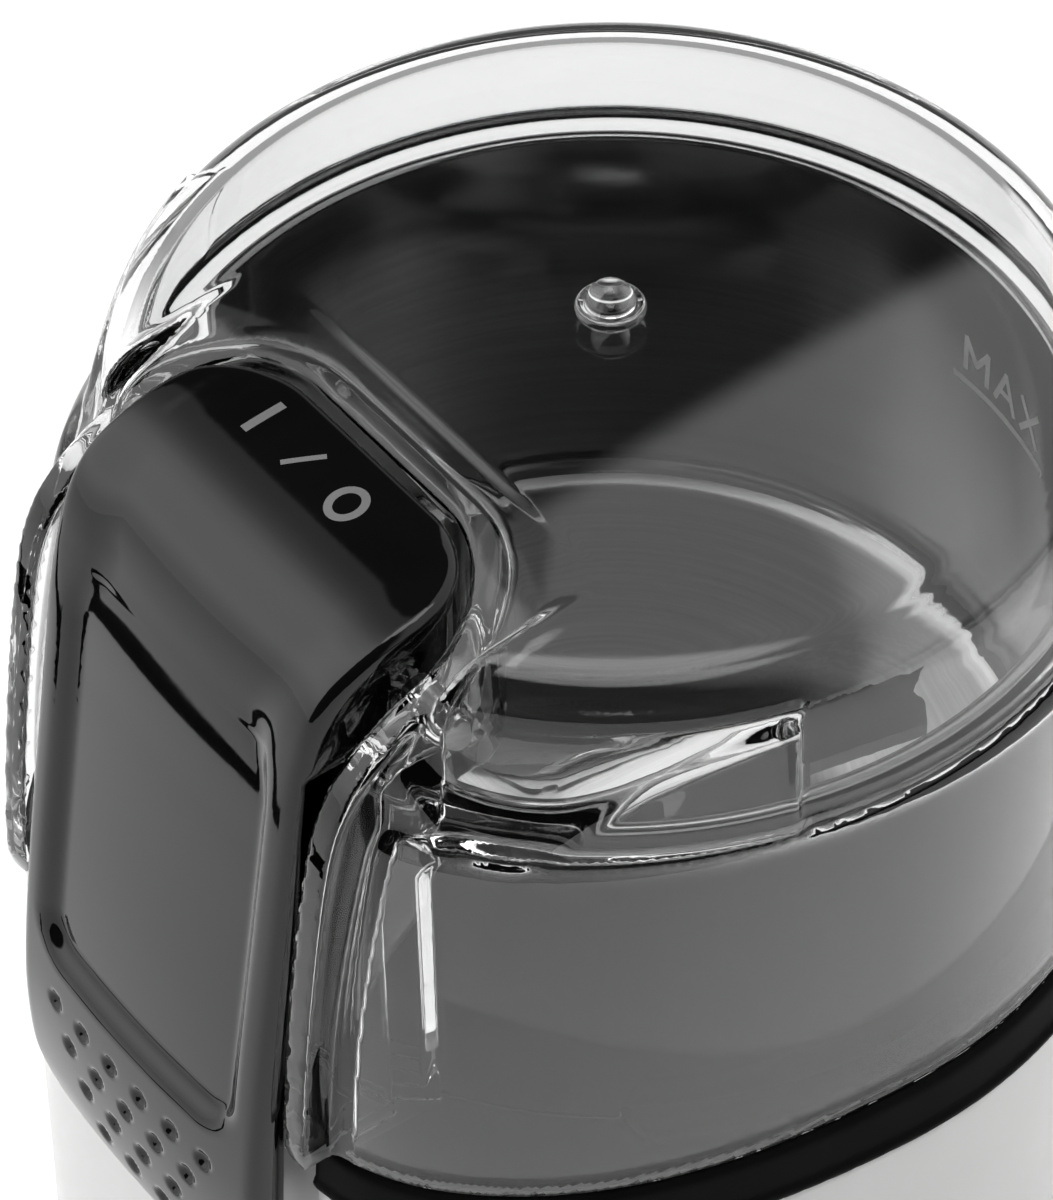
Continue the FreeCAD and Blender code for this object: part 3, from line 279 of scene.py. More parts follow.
def lathe(name, profile, steps):
    """Turned mesh of a closed radius and height loop. Points on the axis are shared."""
    verts, faces, rings = [], [], []
    for r, z in profile:
        if r < 1e-6:
            rings.append([len(verts)])
            verts.append((0, 0, z))
            continue
        rings.append(list(range(len(verts), len(verts) + steps)))
        for i in range(steps):
            a = 2 * math.pi * i / steps
            verts.append((r * math.cos(a), r * math.sin(a), z))
    for p, q in zip(rings, rings[1:] + rings[:1]):
        if len(p) == 1 and len(q) == 1:
            continue
        for i in range(steps):
            j = (i + 1) % steps
            if len(p) == 1:
                faces.append((p[0], q[j], q[i]))
            elif len(q) == 1:
                faces.append((p[i], p[j], q[0]))
            else:
                faces.append((p[i], p[j], q[j], q[i]))
    return new_mesh(name, verts, faces)


def arc_points(cx, cz, radius, start, end, count=8):
    """Points on an arc, for a turned profile; angles in degrees."""
    out = []
    for i in range(count + 1):
        a = math.radians(start + (end - start) * i / count)
        out.append((cx + radius * math.cos(a), cz + radius * math.sin(a)))
    return out


def sharp(obj, degrees):
    """Keeps edges above an angle crisp in the shading."""
    obj.data.set_sharp_from_angle(angle=math.radians(degrees))


# Lid

LID_RADIUS, LID_FRONT, BULGE = 45.0, 47.2, 6.3
SHOULDER, GRIP_TOP, DOME_TOP = 36.4, 46.7, 53.0
LID_WALL, DOME_WALL = 2.2, 2.8
HINGE_OUT, HINGE_Z = 31.5, 42.3
POCKET_HALF, POCKET_START, POCKET_CORNER = 18.9, 23.0, 10.4
FLANGE_WALL, FLANGE_SIDE, FLANGE_TOP, FLANGE_START = 2.9, 22.1, 52.0, 19.0
GRIP_ANGLE = math.radians(72.4)

# the scoop's lower edge: degrees from the lever's direction, height
SCOOP_EDGE = smooth_table((
    (20, 50), (27, 44.5), (31, 40.4), (35, 37.0), (39, 35.5), (43, 35.3), (47, 36.6),
    (51, 39.2), (56, 41.8), (61, 43.6), (67, 45.3), (73, 46.6), (80, 47.4),
), 2.0)
# the raised part above the shoulder: height, radius
UPPER = smooth_table(((30, 43.2), (36.4, 42.9), (44, 42.0), (48.6, 41.2), (56, 40.0)), 1.0)
# the flanges' upper edge: distance out, height
FLANGE = smooth_table((
    (10, 53.5), (19.0, 52.2), (24.5, 50.9), (28.6, 49.0), (32.8, 46.9), (36.8, 45.2),
    (39.8, 43.2), (42.1, 40.8), (43.6, 38.0), (44.5, 35.0), (45.6, 29.0), (47.0, 19.0),
    (48.2, 8.0), (48.8, -4.0),
), 0.8)


def skirt_distance(angle, r, z):
    """Distance to the skirt, which draws in and swells less towards the shoulder."""
    draft, bulge_loss, front_loss = 0.9, 4.3, 5.7
    t = np.clip(z, -3, SHOULDER) / SHOULDER
    bulge, front = BULGE - bulge_loss * t * t, LID_FRONT - front_loss * t * t
    return r - plan(angle, LID_RADIUS - draft * t, bulge, front)


def dome_height(r):
    fall, radius = 3.0, 39.8
    return DOME_TOP - fall * (r / radius) ** 2


def grip_distance(x, out, angle, r, z):
    """Raised block that the two finger scoops are cut into."""
    radius, bulge, front, low, rise = 43.5, 1.5, 41.5, 35.4, 11.2
    lean = np.clip((z - low) / rise, 0, 1)
    grip = r - plan(angle, radius - 0.6 * lean, bulge - 0.75 * lean, front)
    side = np.abs(x) * math.cos(GRIP_ANGLE) - out * math.sin(GRIP_ANGLE)
    return smax(smax(smax(grip, z - GRIP_TOP, 0.9), side, 0.9), -z, 0.5)


def scoop_distance(degrees, r, z):
    """Finger scoop: a hollow surface from a level crease down to a varying edge."""
    crease_r, edge_r, hollow, first, last = 41.4, 44.7, 0.12, 22, 73.2
    edge = np.interp(degrees, *SCOOP_EDGE)
    run, fall = edge_r - crease_r, np.maximum(GRIP_TOP - edge, 0.3)
    length = np.hypot(run, fall)
    nx, nz = fall / length, run / length
    sag = hollow * length
    radius = (length ** 2 / 4 + sag ** 2) / (2 * sag)
    cx = crease_r + run / 2 + nx * (radius - sag)
    cz = GRIP_TOP - fall / 2 + nz * (radius - sag)
    beyond = -((r - crease_r) * nx + (z - GRIP_TOP) * nz)
    scoop = np.minimum(np.hypot(r - cx, z - cz) - radius, beyond)
    scoop = np.maximum(np.maximum(scoop, crease_r - r), edge - 0.2 - z)
    away = 50.0
    return np.where((degrees > first) & (degrees < last), scoop, away)


def hinge_bore(x, out, z, radius, half):
    return np.maximum(np.hypot(out - HINGE_OUT, z - HINGE_Z) - radius, np.abs(x) - half)


def lid_field(x, y, height):
    z = height - SEAT
    out = -y
    r = np.hypot(x, y)
    angle = np.arctan2(x, out)
    degrees = np.degrees(np.abs(angle))
    skirt = skirt_distance(angle, r, z)
    upper = r - np.interp(z, *UPPER)
    top = z - dome_height(r)
    shell = smax(smax(skirt, z - SHOULDER, 3.0), -z, 0.7)
    crown = smax(smax(upper, top, 4.2), -z, 0.5)
    shape = smin(smin(shell, crown, 0.7), grip_distance(x, out, angle, r, z), 0.5)
    shape = smax(shape, -scoop_distance(degrees, r, z), 0.7)
    # flanges beside the lever, clear down to the lid's lower edge
    pocket = slot(x, out, POCKET_HALF, POCKET_START, POCKET_CORNER)
    column = pocket - FLANGE_WALL
    flange = np.maximum(np.maximum(column, z - FLANGE_TOP), 0.3 - z)
    shape = smin(shape, flange, 0.6)
    beside = np.maximum(np.abs(x) - FLANGE_SIDE, FLANGE_START - out)
    above = np.maximum(beside, np.interp(out, *FLANGE) - z)
    shape = smax(shape, -above, 0.9)
    # hollow inside: room in the skirt and under the dome, less the wall round the pocket
    chamber_top, thick_radius = 34.2, 40.3
    chamber = np.maximum(skirt + LID_WALL, z - chamber_top)
    loft = smax(upper + LID_WALL, top + DOME_WALL, 3.0)
    thick = smax(column, smin(SHOULDER - z, thick_radius - r, 1.0), 0.6)
    inner = smax(smin(chamber, loft, 1.0), -thick, 0.6)
    shape = smax(shape, -inner, 0.5)
    # the pocket that the lever lies in, and its hinge bore
    ledge, ledge_radius = 38.4, 42.3
    space = smax(pocket, smin(ledge - z, ledge_radius - r, 1.0), 0.6)
    shape = smax(shape, -space, 0.7)
    return np.maximum(shape, -hinge_bore(x, out, z, 1.52, FLANGE_SIDE))


LID_STEP = 0.45
LID_LOW, LID_HIGH = (-50, -50, SEAT - 1), (50, 47.3, SEAT + 55.6)
lid = field_mesh("lid_shell", lid_field, LID_LOW, LID_HIGH, LID_STEP)
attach(lid, "lid")
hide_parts("lid")

# Gate mark in the middle of the lid's top: a shallow ring and a small dome
nub_base = SEAT + DOME_TOP
nub = lathe(
    "lid_gate_nub",
    [(0, nub_base - 0.6), (2.9, nub_base - 0.6), (2.95, nub_base + 0.02)]
    + [(2.85, nub_base + 0.22), (2.6, nub_base + 0.28), (2.25, nub_base + 0.2)]
    + [(2.1, nub_base + 0.35)]
    + [(r, nub_base + 0.3 + z) for r, z in arc_points(0, 0.0, 2.1, 8, 84, 12)]
    + [(0, nub_base + 2.4)],
    steps=96,
)
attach(nub, "lid")


# Lever

LEVER_HALF = 18.0
# the lever's outer side, from its head over the bend to the tail: distance out, height
LEVER_OUT = spline_points((
    (23.0, 51.5), (24.0, 51.4), (30.0, 51.0), (36.0, 49.9), (40.6, 47.7), (43.6, 43.6),
    (45.5, 37.0), (46.9, 28.5), (48.2, 20.0), (50.2, 7.0), (51.5, -3.0), (52.0, -10.0),
    (51.8, -17.0), (51.0, -22.5), (50.0, -28.0),
))
LEVER_IN = np.array((
    (48.1, -28.0), (47.8, -22.5), (46.6, 0.0), (44.3, 20.0), (43.2, 34.0), (42.6, 39.2),
    (10.0, 39.2),
))
TABLE_LOW, TABLE_HIGH = (8.0, -30.0), (62.0, 60.0)
FAR = -60  # closes both outlines well inside the lever
lever_outer = Profile(
    np.vstack([[[5.0, 51.9]], LEVER_OUT]),
    [(50.0, FAR), (FAR, FAR), (FAR, 51.9)], TABLE_LOW, TABLE_HIGH,
)
lever_inner = Profile(
    LEVER_IN, [(FAR, 39.2), (FAR, FAR), (48.1, FAR)], TABLE_LOW, TABLE_HIGH
)
DIMPLE_ROWS = (6, 5, 4, 3)
DIMPLE_RADIUS, DIMPLE_PITCH, ROW_PITCH, FIRST_ROW = 1.2, 4.4, 3.8, -6.6
CROWN_DROP = 1.2  # how far the face falls back at the lever's sides


def lever_reach(z):
    """How far out the lever's face is at a height below its bend."""
    curve = LEVER_OUT[LEVER_OUT[:, 1] < 43][::-1]
    return float(np.interp(z, curve[:, 1], curve[:, 0]))


def dimple_centres():
    spots = []
    for row, count in enumerate(DIMPLE_ROWS):
        z = FIRST_ROW - ROW_PITCH * row
        for i in range(count):
            x = (i - (count - 1) / 2) * DIMPLE_PITCH
            crown = CROWN_DROP * (x / LEVER_HALF) ** 2
            spots.append((x, lever_reach(z) - crown + 0.62, z))
    return spots


DIMPLES = dimple_centres()


def lever_face(x, out, z):
    """Distance to the outer face alone, crowned everywhere but on its head."""
    head_drop, head_z, over = 0.15, 50.5, 10
    crown = head_drop + (CROWN_DROP - head_drop) * smooth((head_z - z) / over)
    return lever_outer(out, z) + crown * (x / LEVER_HALF) ** 2


def lever_panel(x, z, face):
    """The sunk panel, whose walls steepen and whose depth fades out up on the bend."""
    depth = 1.4 * smooth((52 - z) / 12)
    slope = 0.8 + 1.8 * smooth((z - 34) / 9)
    outline = slab(x, z - 58.0, 14.0, 60.0, 4.2)
    wall = (outline - slope * face) / np.sqrt(1 + slope ** 2)
    return smax(wall, -(face + depth), 0.7)


def lever_field(x, y, height):
    z = height - SEAT
    out = -y
    face = lever_face(x, out, z)
    shape = smax(face, -lever_inner(out, z), 0.8)
    round_over = 1.2 + 1.2 * smooth((51 - z) / 6)
    shape = smax(shape, slot(x, out, LEVER_HALF, 23.9, 9.5), round_over)
    shape = smax(shape, slab(x, z - 38.0, LEVER_HALF, 60.0, 7.0), 1.7)
    shape = smax(shape, -lever_panel(x, z, face), 1.0)
    for cx, cu, cz in DIMPLES:
        ball = np.sqrt((x - cx) ** 2 + (out - cu) ** 2 + (z - cz) ** 2) - DIMPLE_RADIUS
        shape = smax(shape, -ball, 0.25)
    # room for the torsion spring, and the bore for the hinge pin
    room = np.maximum(np.abs(x) - 15.2, np.abs(out - 32.4) - 5.6)
    room = np.maximum(room, np.abs(z - 42.0) - 4.4)
    shape = np.maximum(shape, -room)
    return np.maximum(shape, -hinge_bore(x, out, z, 1.56, 30))


LEVER_STEP = 0.3
LEVER_LOW, LEVER_HIGH = (-19, -53.5, SEAT - 23), (19, -23, SEAT + 52.5)
lever = field_mesh("press_lever", lever_field, LEVER_LOW, LEVER_HIGH, LEVER_STEP)
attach(lever, "lever")
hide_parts("switch_lever")


# Printed marks

def drop_on(field, x, y, start):
    """Height of a field's upper surface under points, found by stepping down."""
    steps, longest, share = 60, 0.5, 0.9
    z = np.full(x.shape, float(start))
    for _ in range(steps):
        z = z - np.clip(field(x, y, z), -longest, longest) * share
    return z


def stroke(centre, direction, half_length, half_width, count=10):
    """Strip of points along a straight stroke in plan."""
    d = np.array(direction, float)
    d /= np.linalg.norm(d)
    side = np.array([-d[1], d[0]])
    t = np.linspace(-half_length, half_length, count)[:, None]
    middle = np.array(centre, float) + t * d
    return np.stack([middle - side * half_width, middle + side * half_width], axis=1)


def ring_strip(centre, radius_a, radius_b, half_width, count=48):
    """Strip of points round an oval ring in plan."""
    a = np.linspace(0, 2 * np.pi, count)
    edge = np.stack([np.cos(a) * radius_a, np.sin(a) * radius_b], axis=1)
    unit = edge / np.linalg.norm(edge, axis=1, keepdims=True)
    middle = np.array(centre) + edge
    return np.stack([middle - unit * half_width, middle + unit * half_width], axis=1)


def strips_mesh(name, strips, lift):
    """Thin printed strips, lifted to their surface by a function of plan points."""
    verts, faces = [], []
    for strip in strips:
        base = len(verts)
        for a, b in strip:
            verts.append(lift(a))
            verts.append(lift(b))
        for i in range(len(strip) - 1):
            k = base + 2 * i
            faces.append((k, k + 1, k + 3, k + 2))
    return new_mesh(name, verts, faces)


PRINT_LIFT = 0.03


def on_lever(point):
    """Drops a plan point onto the lever, a hair above its face."""
    x, y = point
    z = drop_on(lever_field, np.array([x]), np.array([y]), SEAT + 53)[0]
    return (x, y, z + PRINT_LIFT)


marks = strips_mesh(
    "lever_marks",
    [
        stroke((-8.5, -28.3), (0, 1), 2.0, 0.42),
        stroke((-2.6, -28.6), (0.62, 1), 1.85, 0.26),
        ring_strip((3.5, -28.8), 1.35, 1.6, 0.36),
    ],
    on_lever,
)
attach(marks, "lever")


# Body and collar

BODY_RADIUS, BODY_FRONT, BODY_FLARE = 46.0, 46.7, 1.0
BODY_LOW, BODY_TOP, BODY_WALL = 1.0, 113.8, 2.2
BAY_HALF, BAY_BACK = 19.5, 44.2


def housing_field(x, y, z):
    """The outer body: an oval shell with a ledge, the lever's bay and two round holes."""
    out = -y
    r = np.hypot(x, y)
    angle = np.arctan2(x, out)
    flare = BODY_FLARE * (BODY_TOP - z) / (BODY_TOP - BODY_LOW)
    wall = r - plan(angle, BODY_RADIUS + flare, BULGE, BODY_FRONT + flare)
    shape = smax(smax(wall, z - BODY_TOP, 0.5), BODY_LOW - z, 1.2)
    inner = np.maximum(wall + BODY_WALL, -np.minimum(z - 0.5, 114.5 - z))
    # solid pad behind the bay, for the plunger
    pad = np.maximum(np.maximum(np.abs(x) - 21.5, 42.2 - out), np.maximum(92.5 - z, z - BODY_TOP))
    ledge = np.maximum(37.0 - r, np.abs(z - 105.95) - 1.25)
    shape = np.maximum(shape, -np.maximum(np.maximum(inner, -pad), -ledge))
    bay = slab(x, z - 134.5, BAY_HALF, 40.0, 1.5)
    bay = np.maximum(bay, BAY_BACK - out)
    shape = smax(shape, -bay, 0.6)
    plunger = np.maximum(np.hypot(x, z - 100.8) - 2.28, -out)
    gland = np.maximum(np.hypot(x, z - 16) - 5.7, out)
    return np.maximum(np.maximum(shape, -plunger), -gland)


BODY_STEP = 0.8
housing = field_mesh("body_shell", housing_field, (-50, -50, -0.5), (50, 49, 115.2), BODY_STEP)
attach(housing, "base")
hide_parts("housing")


COLLAR_LOW, LIP_TOP = -5.2, -4.2


def collar_field(x, y, height):
    """Black collar: a lip over the body's edge, a leaning band and a rib for the bowl."""
    z = height - SEAT
    out = -y
    r = np.hypot(x, y)
    angle = np.arctan2(x, out)
    lip = r - plan(angle, 46.5, BULGE, 47.1)
    lip = smax(smax(lip, z - LIP_TOP, 0.4), COLLAR_LOW - z, 0.4)
    lean = np.clip((z - LIP_TOP) / -LIP_TOP, 0, 1)
    main = r - plan(angle, 46.1 - 0.7 * lean, BULGE, 46.9 - 0.2 * lean)
    main = smax(np.maximum(main, COLLAR_LOW - z), z, 0.9)
    rib = np.maximum(np.maximum(r - 42.4, z - 1.5), np.maximum(-2 - z, -24 - y))
    shape = smin(smin(lip, main, 0.3), rib, 0.4)
    shape = smax(shape, 39.6 - r, 0.6)
    bay = np.maximum(np.abs(x) - BAY_HALF, BAY_BACK - out)
    return smax(shape, -bay, 0.5)


COLLAR_STEP = 0.4
COLLAR_FROM, COLLAR_TO = (-50, -50, SEAT - 6), (50, 49, SEAT + 2.4)
collar = field_mesh("collar_band", collar_field, COLLAR_FROM, COLLAR_TO, COLLAR_STEP)
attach(collar, "base")
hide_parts("collar_ring")


# Bowl

BOWL_INSIDE, BOWL_OUTSIDE, HUB = 38.5, 39.3, 9.3
CORNER = 35.3  # where the floor turns up into the wall
TURN_STEPS = 320
floor_z = SEAT - 4.0
rim_z = SEAT + 35.7
bowl = lathe(
    "steel_bowl",
    # under the floor, round its corner and up the outside
    [(HUB, floor_z - 0.8), (20, floor_z - 0.8), (CORNER, floor_z - 0.8)]
    + arc_points(CORNER, floor_z + 3.2, 4.0, -80, -8)
    + [(BOWL_OUTSIDE, z) for z in (floor_z + 3.4, floor_z + 12, rim_z - 12, rim_z - 1.0)]
    # the rolled rim
    + [(39.45, rim_z - 0.85), (39.68, rim_z - 0.6), (39.7, rim_z - 0.35)]
    + [(39.55, rim_z - 0.1), (39.25, rim_z), (38.75, rim_z), (38.55, rim_z - 0.15)]
    # down the inside and over the floor, which is pressed a hair out of flat
    + [(BOWL_INSIDE, z) for z in (rim_z - 0.4, rim_z - 12, floor_z + 12, floor_z + 3.4)]
    + arc_points(CORNER, floor_z + 3.2, 3.2, -8, -80)
    + [(CORNER, floor_z), (30, floor_z + 0.02), (20, floor_z), (14, floor_z + 0.03)]
    + [(HUB, floor_z)],
    steps=TURN_STEPS,
)
sharp(bowl, 50)
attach(bowl, "base")
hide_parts("grinding_bowl")

# Near-black gloss shell round the bowl's outside: painted shade, put over the steel to darken
# what the clear skirt shows there; its gloss reads as a grey sheen through the skirt
SHADE_SHELL_INSIDE = 39.32
shade_shell = lathe(
    "bowl_painted_shade_shell",
    [(SHADE_SHELL_INSIDE, SEAT + 0.3), (39.85, SEAT + 0.35), (39.9, SEAT + 0.7)]
    + [(39.9, SEAT + 30.4), (39.8, SEAT + 30.8), (SHADE_SHELL_INSIDE, SEAT + 31.0)],
    steps=TURN_STEPS,
)
sharp(shade_shell, 50)
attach(shade_shell, "base")

# Fill mark on the inner wall: a line with the word for its level above it
LETTERS = {
    "M": (((0, 0), (0, 1)), ((0, 1), (0.5, 0.35)), ((0.5, 0.35), (1, 1)), ((1, 1), (1, 0))),
    "A": (((0, 0), (0.5, 1)), ((0.5, 1), (1, 0)), ((0.2, 0.36), (0.8, 0.36))),
    "X": (((0, 0), (1, 1)), ((0, 1), (1, 0))),
}
MARK_FROM, MARK_TO = math.radians(52.3 + 39.3), math.radians(52.3 + 17.8)
MARK_HEIGHT = SEAT + 21.5
MARK_RADIUS = BOWL_INSIDE - PRINT_LIFT


def on_wall(point):
    """Maps a distance along the inner wall and a height onto the bowl."""
    along, z = point
    a = MARK_FROM - along / BOWL_INSIDE
    return (MARK_RADIUS * math.cos(a), MARK_RADIUS * math.sin(a), z)


mark_length = (MARK_FROM - MARK_TO) * BOWL_INSIDE
fill_strips = [stroke((mark_length / 2, MARK_HEIGHT), (1, 0), mark_length / 2, 0.35, 30)]
letter_width, letter_height, letter_gap, letter_rise = 3.0, 3.4, 1.3, 1.5
start = (mark_length - 3 * letter_width - 2 * letter_gap) / 2
for i, letter in enumerate("MAX"):
    left = start + i * (letter_width + letter_gap)
    for line in LETTERS[letter]:
        a, b = (
            np.array((left + x * letter_width, MARK_HEIGHT + letter_rise + z * letter_height))
            for x, z in line
        )
        half = np.linalg.norm(b - a) / 2 + 0.2
        fill_strips.append(stroke((a + b) / 2, b - a, half, 0.3, 4))
fill_mark = strips_mesh("bowl_fill_mark", fill_strips, on_wall)
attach(fill_mark, "base")


# Materials

def grey(value):
    return (value, value, value)


def material(name):
    mat = bpy.data.materials.new(name)
    mat.use_nodes = True
    tree = mat.node_tree
    shader = tree.nodes["Principled BSDF"]
    return mat, tree, shader


def noise(tree, scale, detail=4.0, rough=0.5, stretch=None):
    """Noise in object space, stretched along an axis where asked."""
    coords = tree.nodes.new("ShaderNodeTexCoord")
    source = coords.outputs["Object"]
    if stretch:
        mapping = tree.nodes.new("ShaderNodeMapping")
        mapping.inputs["Scale"].default_value = stretch
        tree.links.new(source, mapping.inputs["Vector"])
        source = mapping.outputs["Vector"]
    tex = tree.nodes.new("ShaderNodeTexNoise")
    tex.inputs["Scale"].default_value = scale
    tex.inputs["Detail"].default_value = detail
    tex.inputs["Roughness"].default_value = rough
    tree.links.new(source, tex.inputs["Vector"])
    return tex.outputs["Fac"]


def ramp(tree, source, low, high, start=0.3, end=0.7):
    """Spreads a value between two greys or two colours."""
    node = tree.nodes.new("ShaderNodeValToRGB")
    node.color_ramp.elements[0].position = start
    node.color_ramp.elements[1].position = end
    node.color_ramp.elements[0].color = (*low, 1)
    node.color_ramp.elements[1].color = (*high, 1)
    tree.links.new(source, node.inputs["Fac"])
    return node.outputs["Color"]


def maths(tree, kind, *sources):
    """Maths node on numbers and sockets."""
    node = tree.nodes.new("ShaderNodeMath")
    node.operation = kind
    for i, source in enumerate(sources):
        if isinstance(source, (int, float)):
            node.inputs[i].default_value = source
        else:
            tree.links.new(source, node.inputs[i])
    return node.outputs[0]


def spread(tree, source, low, high):
    """Spreads a value between two numbers."""
    node = tree.nodes.new("ShaderNodeMapRange")
    node.inputs["To Min"].default_value = low
    node.inputs["To Max"].default_value = high
    tree.links.new(source, node.inputs["Value"])
    return node.outputs["Result"]


def bump(tree, shader, source, strength, distance):
    node = tree.nodes.new("ShaderNodeBump")
    node.inputs["Strength"].default_value = strength
    node.inputs["Distance"].default_value = distance
    tree.links.new(source, node.inputs["Height"])
    tree.links.new(node.outputs["Normal"], shader.inputs["Normal"])


def plastic(name, dark, light, rough_low, rough_high, scale, bumpy, specular=0.5):
    """Moulded plastic: faint cloudy colour, uneven gloss and a fine skin."""
    mat, tree, shader = material(name)
    tone = noise(tree, scale * 0.06, 3)
    tree.links.new(ramp(tree, tone, dark, light), shader.inputs["Base Color"])
    fine = noise(tree, scale, 5)
    tree.links.new(spread(tree, fine, rough_low, rough_high), shader.inputs["Roughness"])
    shader.inputs["Specular IOR Level"].default_value = specular
    if bumpy:
        bump(tree, shader, fine, bumpy, 0.0002)
    return mat


def steel(name, dark, light, rough_low, rough_high, stretch, scale, groove=0.03):
    """Brushed steel: colour, gloss and tiny grooves all run along the brushing."""
    mat, tree, shader = material(name)
    lines = noise(tree, scale, 6, 0.65, stretch)
    cloud = noise(tree, 35, 2)
    tree.links.new(ramp(tree, lines, dark, light, 0.25, 0.75), shader.inputs["Base Color"])
    gloss = maths(tree, "MULTIPLY", maths(tree, "ADD", lines, cloud), 0.5)
    tree.links.new(spread(tree, gloss, rough_low, rough_high), shader.inputs["Roughness"])
    shader.inputs["Metallic"].default_value = 1.0
    bump(tree, shader, lines, groove, 0.0001)
    return mat


CLEAR_IOR = 1.52


def clear_plastic():
    mat, tree, shader = material("clear_plastic")
    haze = noise(tree, 300, 3)
    tree.links.new(spread(tree, haze, 0.0, 0.02), shader.inputs["Roughness"])
    tint = ramp(tree, noise(tree, 40, 2), (0.94, 0.943, 0.943), (0.955, 0.957, 0.957))
    tree.links.new(tint, shader.inputs["Base Color"])
    shader.inputs["Transmission Weight"].default_value = 1.0
    shader.inputs["IOR"].default_value = CLEAR_IOR
    bump(tree, shader, noise(tree, 120, 2), 0.006, 0.0004)
    return mat


def bowl_steel(name, dark, light, rough_low, rough_high, anisotropic, groove):
    """Drawn steel with lines in rings about the axis; on the floor they fan the light out."""
    mat, tree, shader = material(name)
    coords = tree.nodes.new("ShaderNodeTexCoord")
    split = tree.nodes.new("ShaderNodeSeparateXYZ")
    tree.links.new(coords.outputs["Object"], split.inputs["Vector"])
    x, y, z = (split.outputs[i] for i in range(3))
    squares = maths(tree, "ADD", maths(tree, "MULTIPLY", x, x), maths(tree, "MULTIPLY", y, y))
    r = maths(tree, "SQRT", squares)
    around = maths(tree, "ARCTAN2", y, x)
    across, along = 900.0, 0.35
    join = tree.nodes.new("ShaderNodeCombineXYZ")
    tree.links.new(maths(tree, "MULTIPLY", r, across), join.inputs[0])
    tree.links.new(maths(tree, "MULTIPLY", around, along), join.inputs[1])
    tree.links.new(maths(tree, "MULTIPLY", z, across), join.inputs[2])
    lines = tree.nodes.new("ShaderNodeTexNoise")
    lines.inputs["Scale"].default_value = 2.4
    lines.inputs["Detail"].default_value = 5
    tree.links.new(join.outputs[0], lines.inputs["Vector"])
    fac = lines.outputs["Fac"]
    tree.links.new(ramp(tree, fac, grey(dark), grey(light)), shader.inputs["Base Color"])
    tree.links.new(spread(tree, fac, rough_low, rough_high), shader.inputs["Roughness"])
    shader.inputs["Metallic"].default_value = 1.0
    shader.inputs["Anisotropic"].default_value = anisotropic
    tangent = tree.nodes.new("ShaderNodeTangent")
    tangent.direction_type = "RADIAL"
    tangent.axis = "Z"
    tree.links.new(tangent.outputs["Tangent"], shader.inputs["Tangent"])
    bump(tree, shader, fac, groove, 0.00006)
    return mat


def lid_edge_painted_highlight():
    """Lower edge of the clear lid, milky and whitish: a painted highlight for the bright line
    that refracted light draws along its whole length.
    """
    mat, tree, shader = material("lid_edge_painted_highlight")
    haze = noise(tree, 700, 4)
    tree.links.new(spread(tree, haze, 0.35, 0.5), shader.inputs["Roughness"])
    tree.links.new(ramp(tree, haze, grey(0.86), grey(0.92)), shader.inputs["Base Color"])
    shader.inputs["Transmission Weight"].default_value = 0.35
    shader.inputs["IOR"].default_value = CLEAR_IOR
    return mat


# name, darkest and lightest colour, least and most roughness, grain, bump
black_gloss = plastic(
    "black_gloss", (0.0015, 0.0015, 0.0016), (0.003, 0.003, 0.0032), 0.02, 0.07, 1200, 0.004,
    specular=0.43,
)
# Near-black gloss for the shell round the bowl's outside: painted shade.
shade_shell_gloss = plastic(
    "painted_shade_shell_gloss", grey(0.0015), grey(0.003), 0.02, 0.06, 1200, 0.002, specular=0.12
)
black_satin = plastic("black_satin", grey(0.012), grey(0.018), 0.22, 0.34, 1500, 0.03)
collar_black = plastic(
    "collar_black", grey(0.003), grey(0.006), 0.4, 0.5, 1500, 0.01, specular=0.03
)
white_body = plastic(
    "white_body", (0.64, 0.64, 0.635), (0.67, 0.67, 0.665), 0.24, 0.28, 1100, 0.002
)
grey_parts = plastic(
    "grey_parts", (0.22, 0.22, 0.23), (0.30, 0.30, 0.31), 0.4, 0.55, 1500, 0.06
)
print_grey = plastic("print_grey", grey(0.11), grey(0.125), 0.35, 0.5, 2500, 0.02)
rubber = plastic("rubber_black", grey(0.015), grey(0.03), 0.6, 0.8, 2500, 0.1, specular=0.3)
carbon = plastic("carbon_block", grey(0.02), grey(0.06), 0.5, 0.7, 3000, 0.1)
mark_etch = plastic("mark_etch", grey(0.6), grey(0.68), 0.5, 0.6, 2500, 0.02)
screw_steel = steel("screw_steel", grey(0.42), grey(0.6), 0.2, 0.4, (1, 1, 6), 400)
core_steel = steel(
    "core_steel", (0.10, 0.10, 0.11), (0.24, 0.24, 0.25), 0.35, 0.5, (0.2, 0.2, 30), 60, 0.2
)
copper = steel(
    "copper_wire", (0.55, 0.22, 0.09), (0.80, 0.38, 0.17), 0.25, 0.4, (1, 1, 12), 300, 0.3
)
brass = steel(
    "brass_parts", (0.55, 0.38, 0.14), (0.75, 0.55, 0.24), 0.2, 0.35, (1, 1, 5), 300, 0.05
)
clear = clear_plastic()
# The bowl's wall steel is far darker than its floor steel: painted shade. The blade wears it too.
steel_painted_shade = bowl_steel("bowl_steel_painted_shade", 0.22, 0.25, 0.09, 0.12, 0.0, 0.002)
floor_steel = bowl_steel("bowl_floor_steel", 0.50, 0.66, 0.28, 0.42, 0.75, 0.05)
edge_highlight = lid_edge_painted_highlight()


def dress(obj, mat):
    obj.data.materials.clear()
    obj.data.materials.append(mat)


for obj, mat in (
    (lid, clear),
    (nub, clear),
    (lever, black_gloss),
    (marks, print_grey),
    (housing, white_body),
    (collar, collar_black),
    (bowl, steel_painted_shade),
    (shade_shell, shade_shell_gloss),
    (fill_mark, mark_etch),
):
    dress(obj, mat)


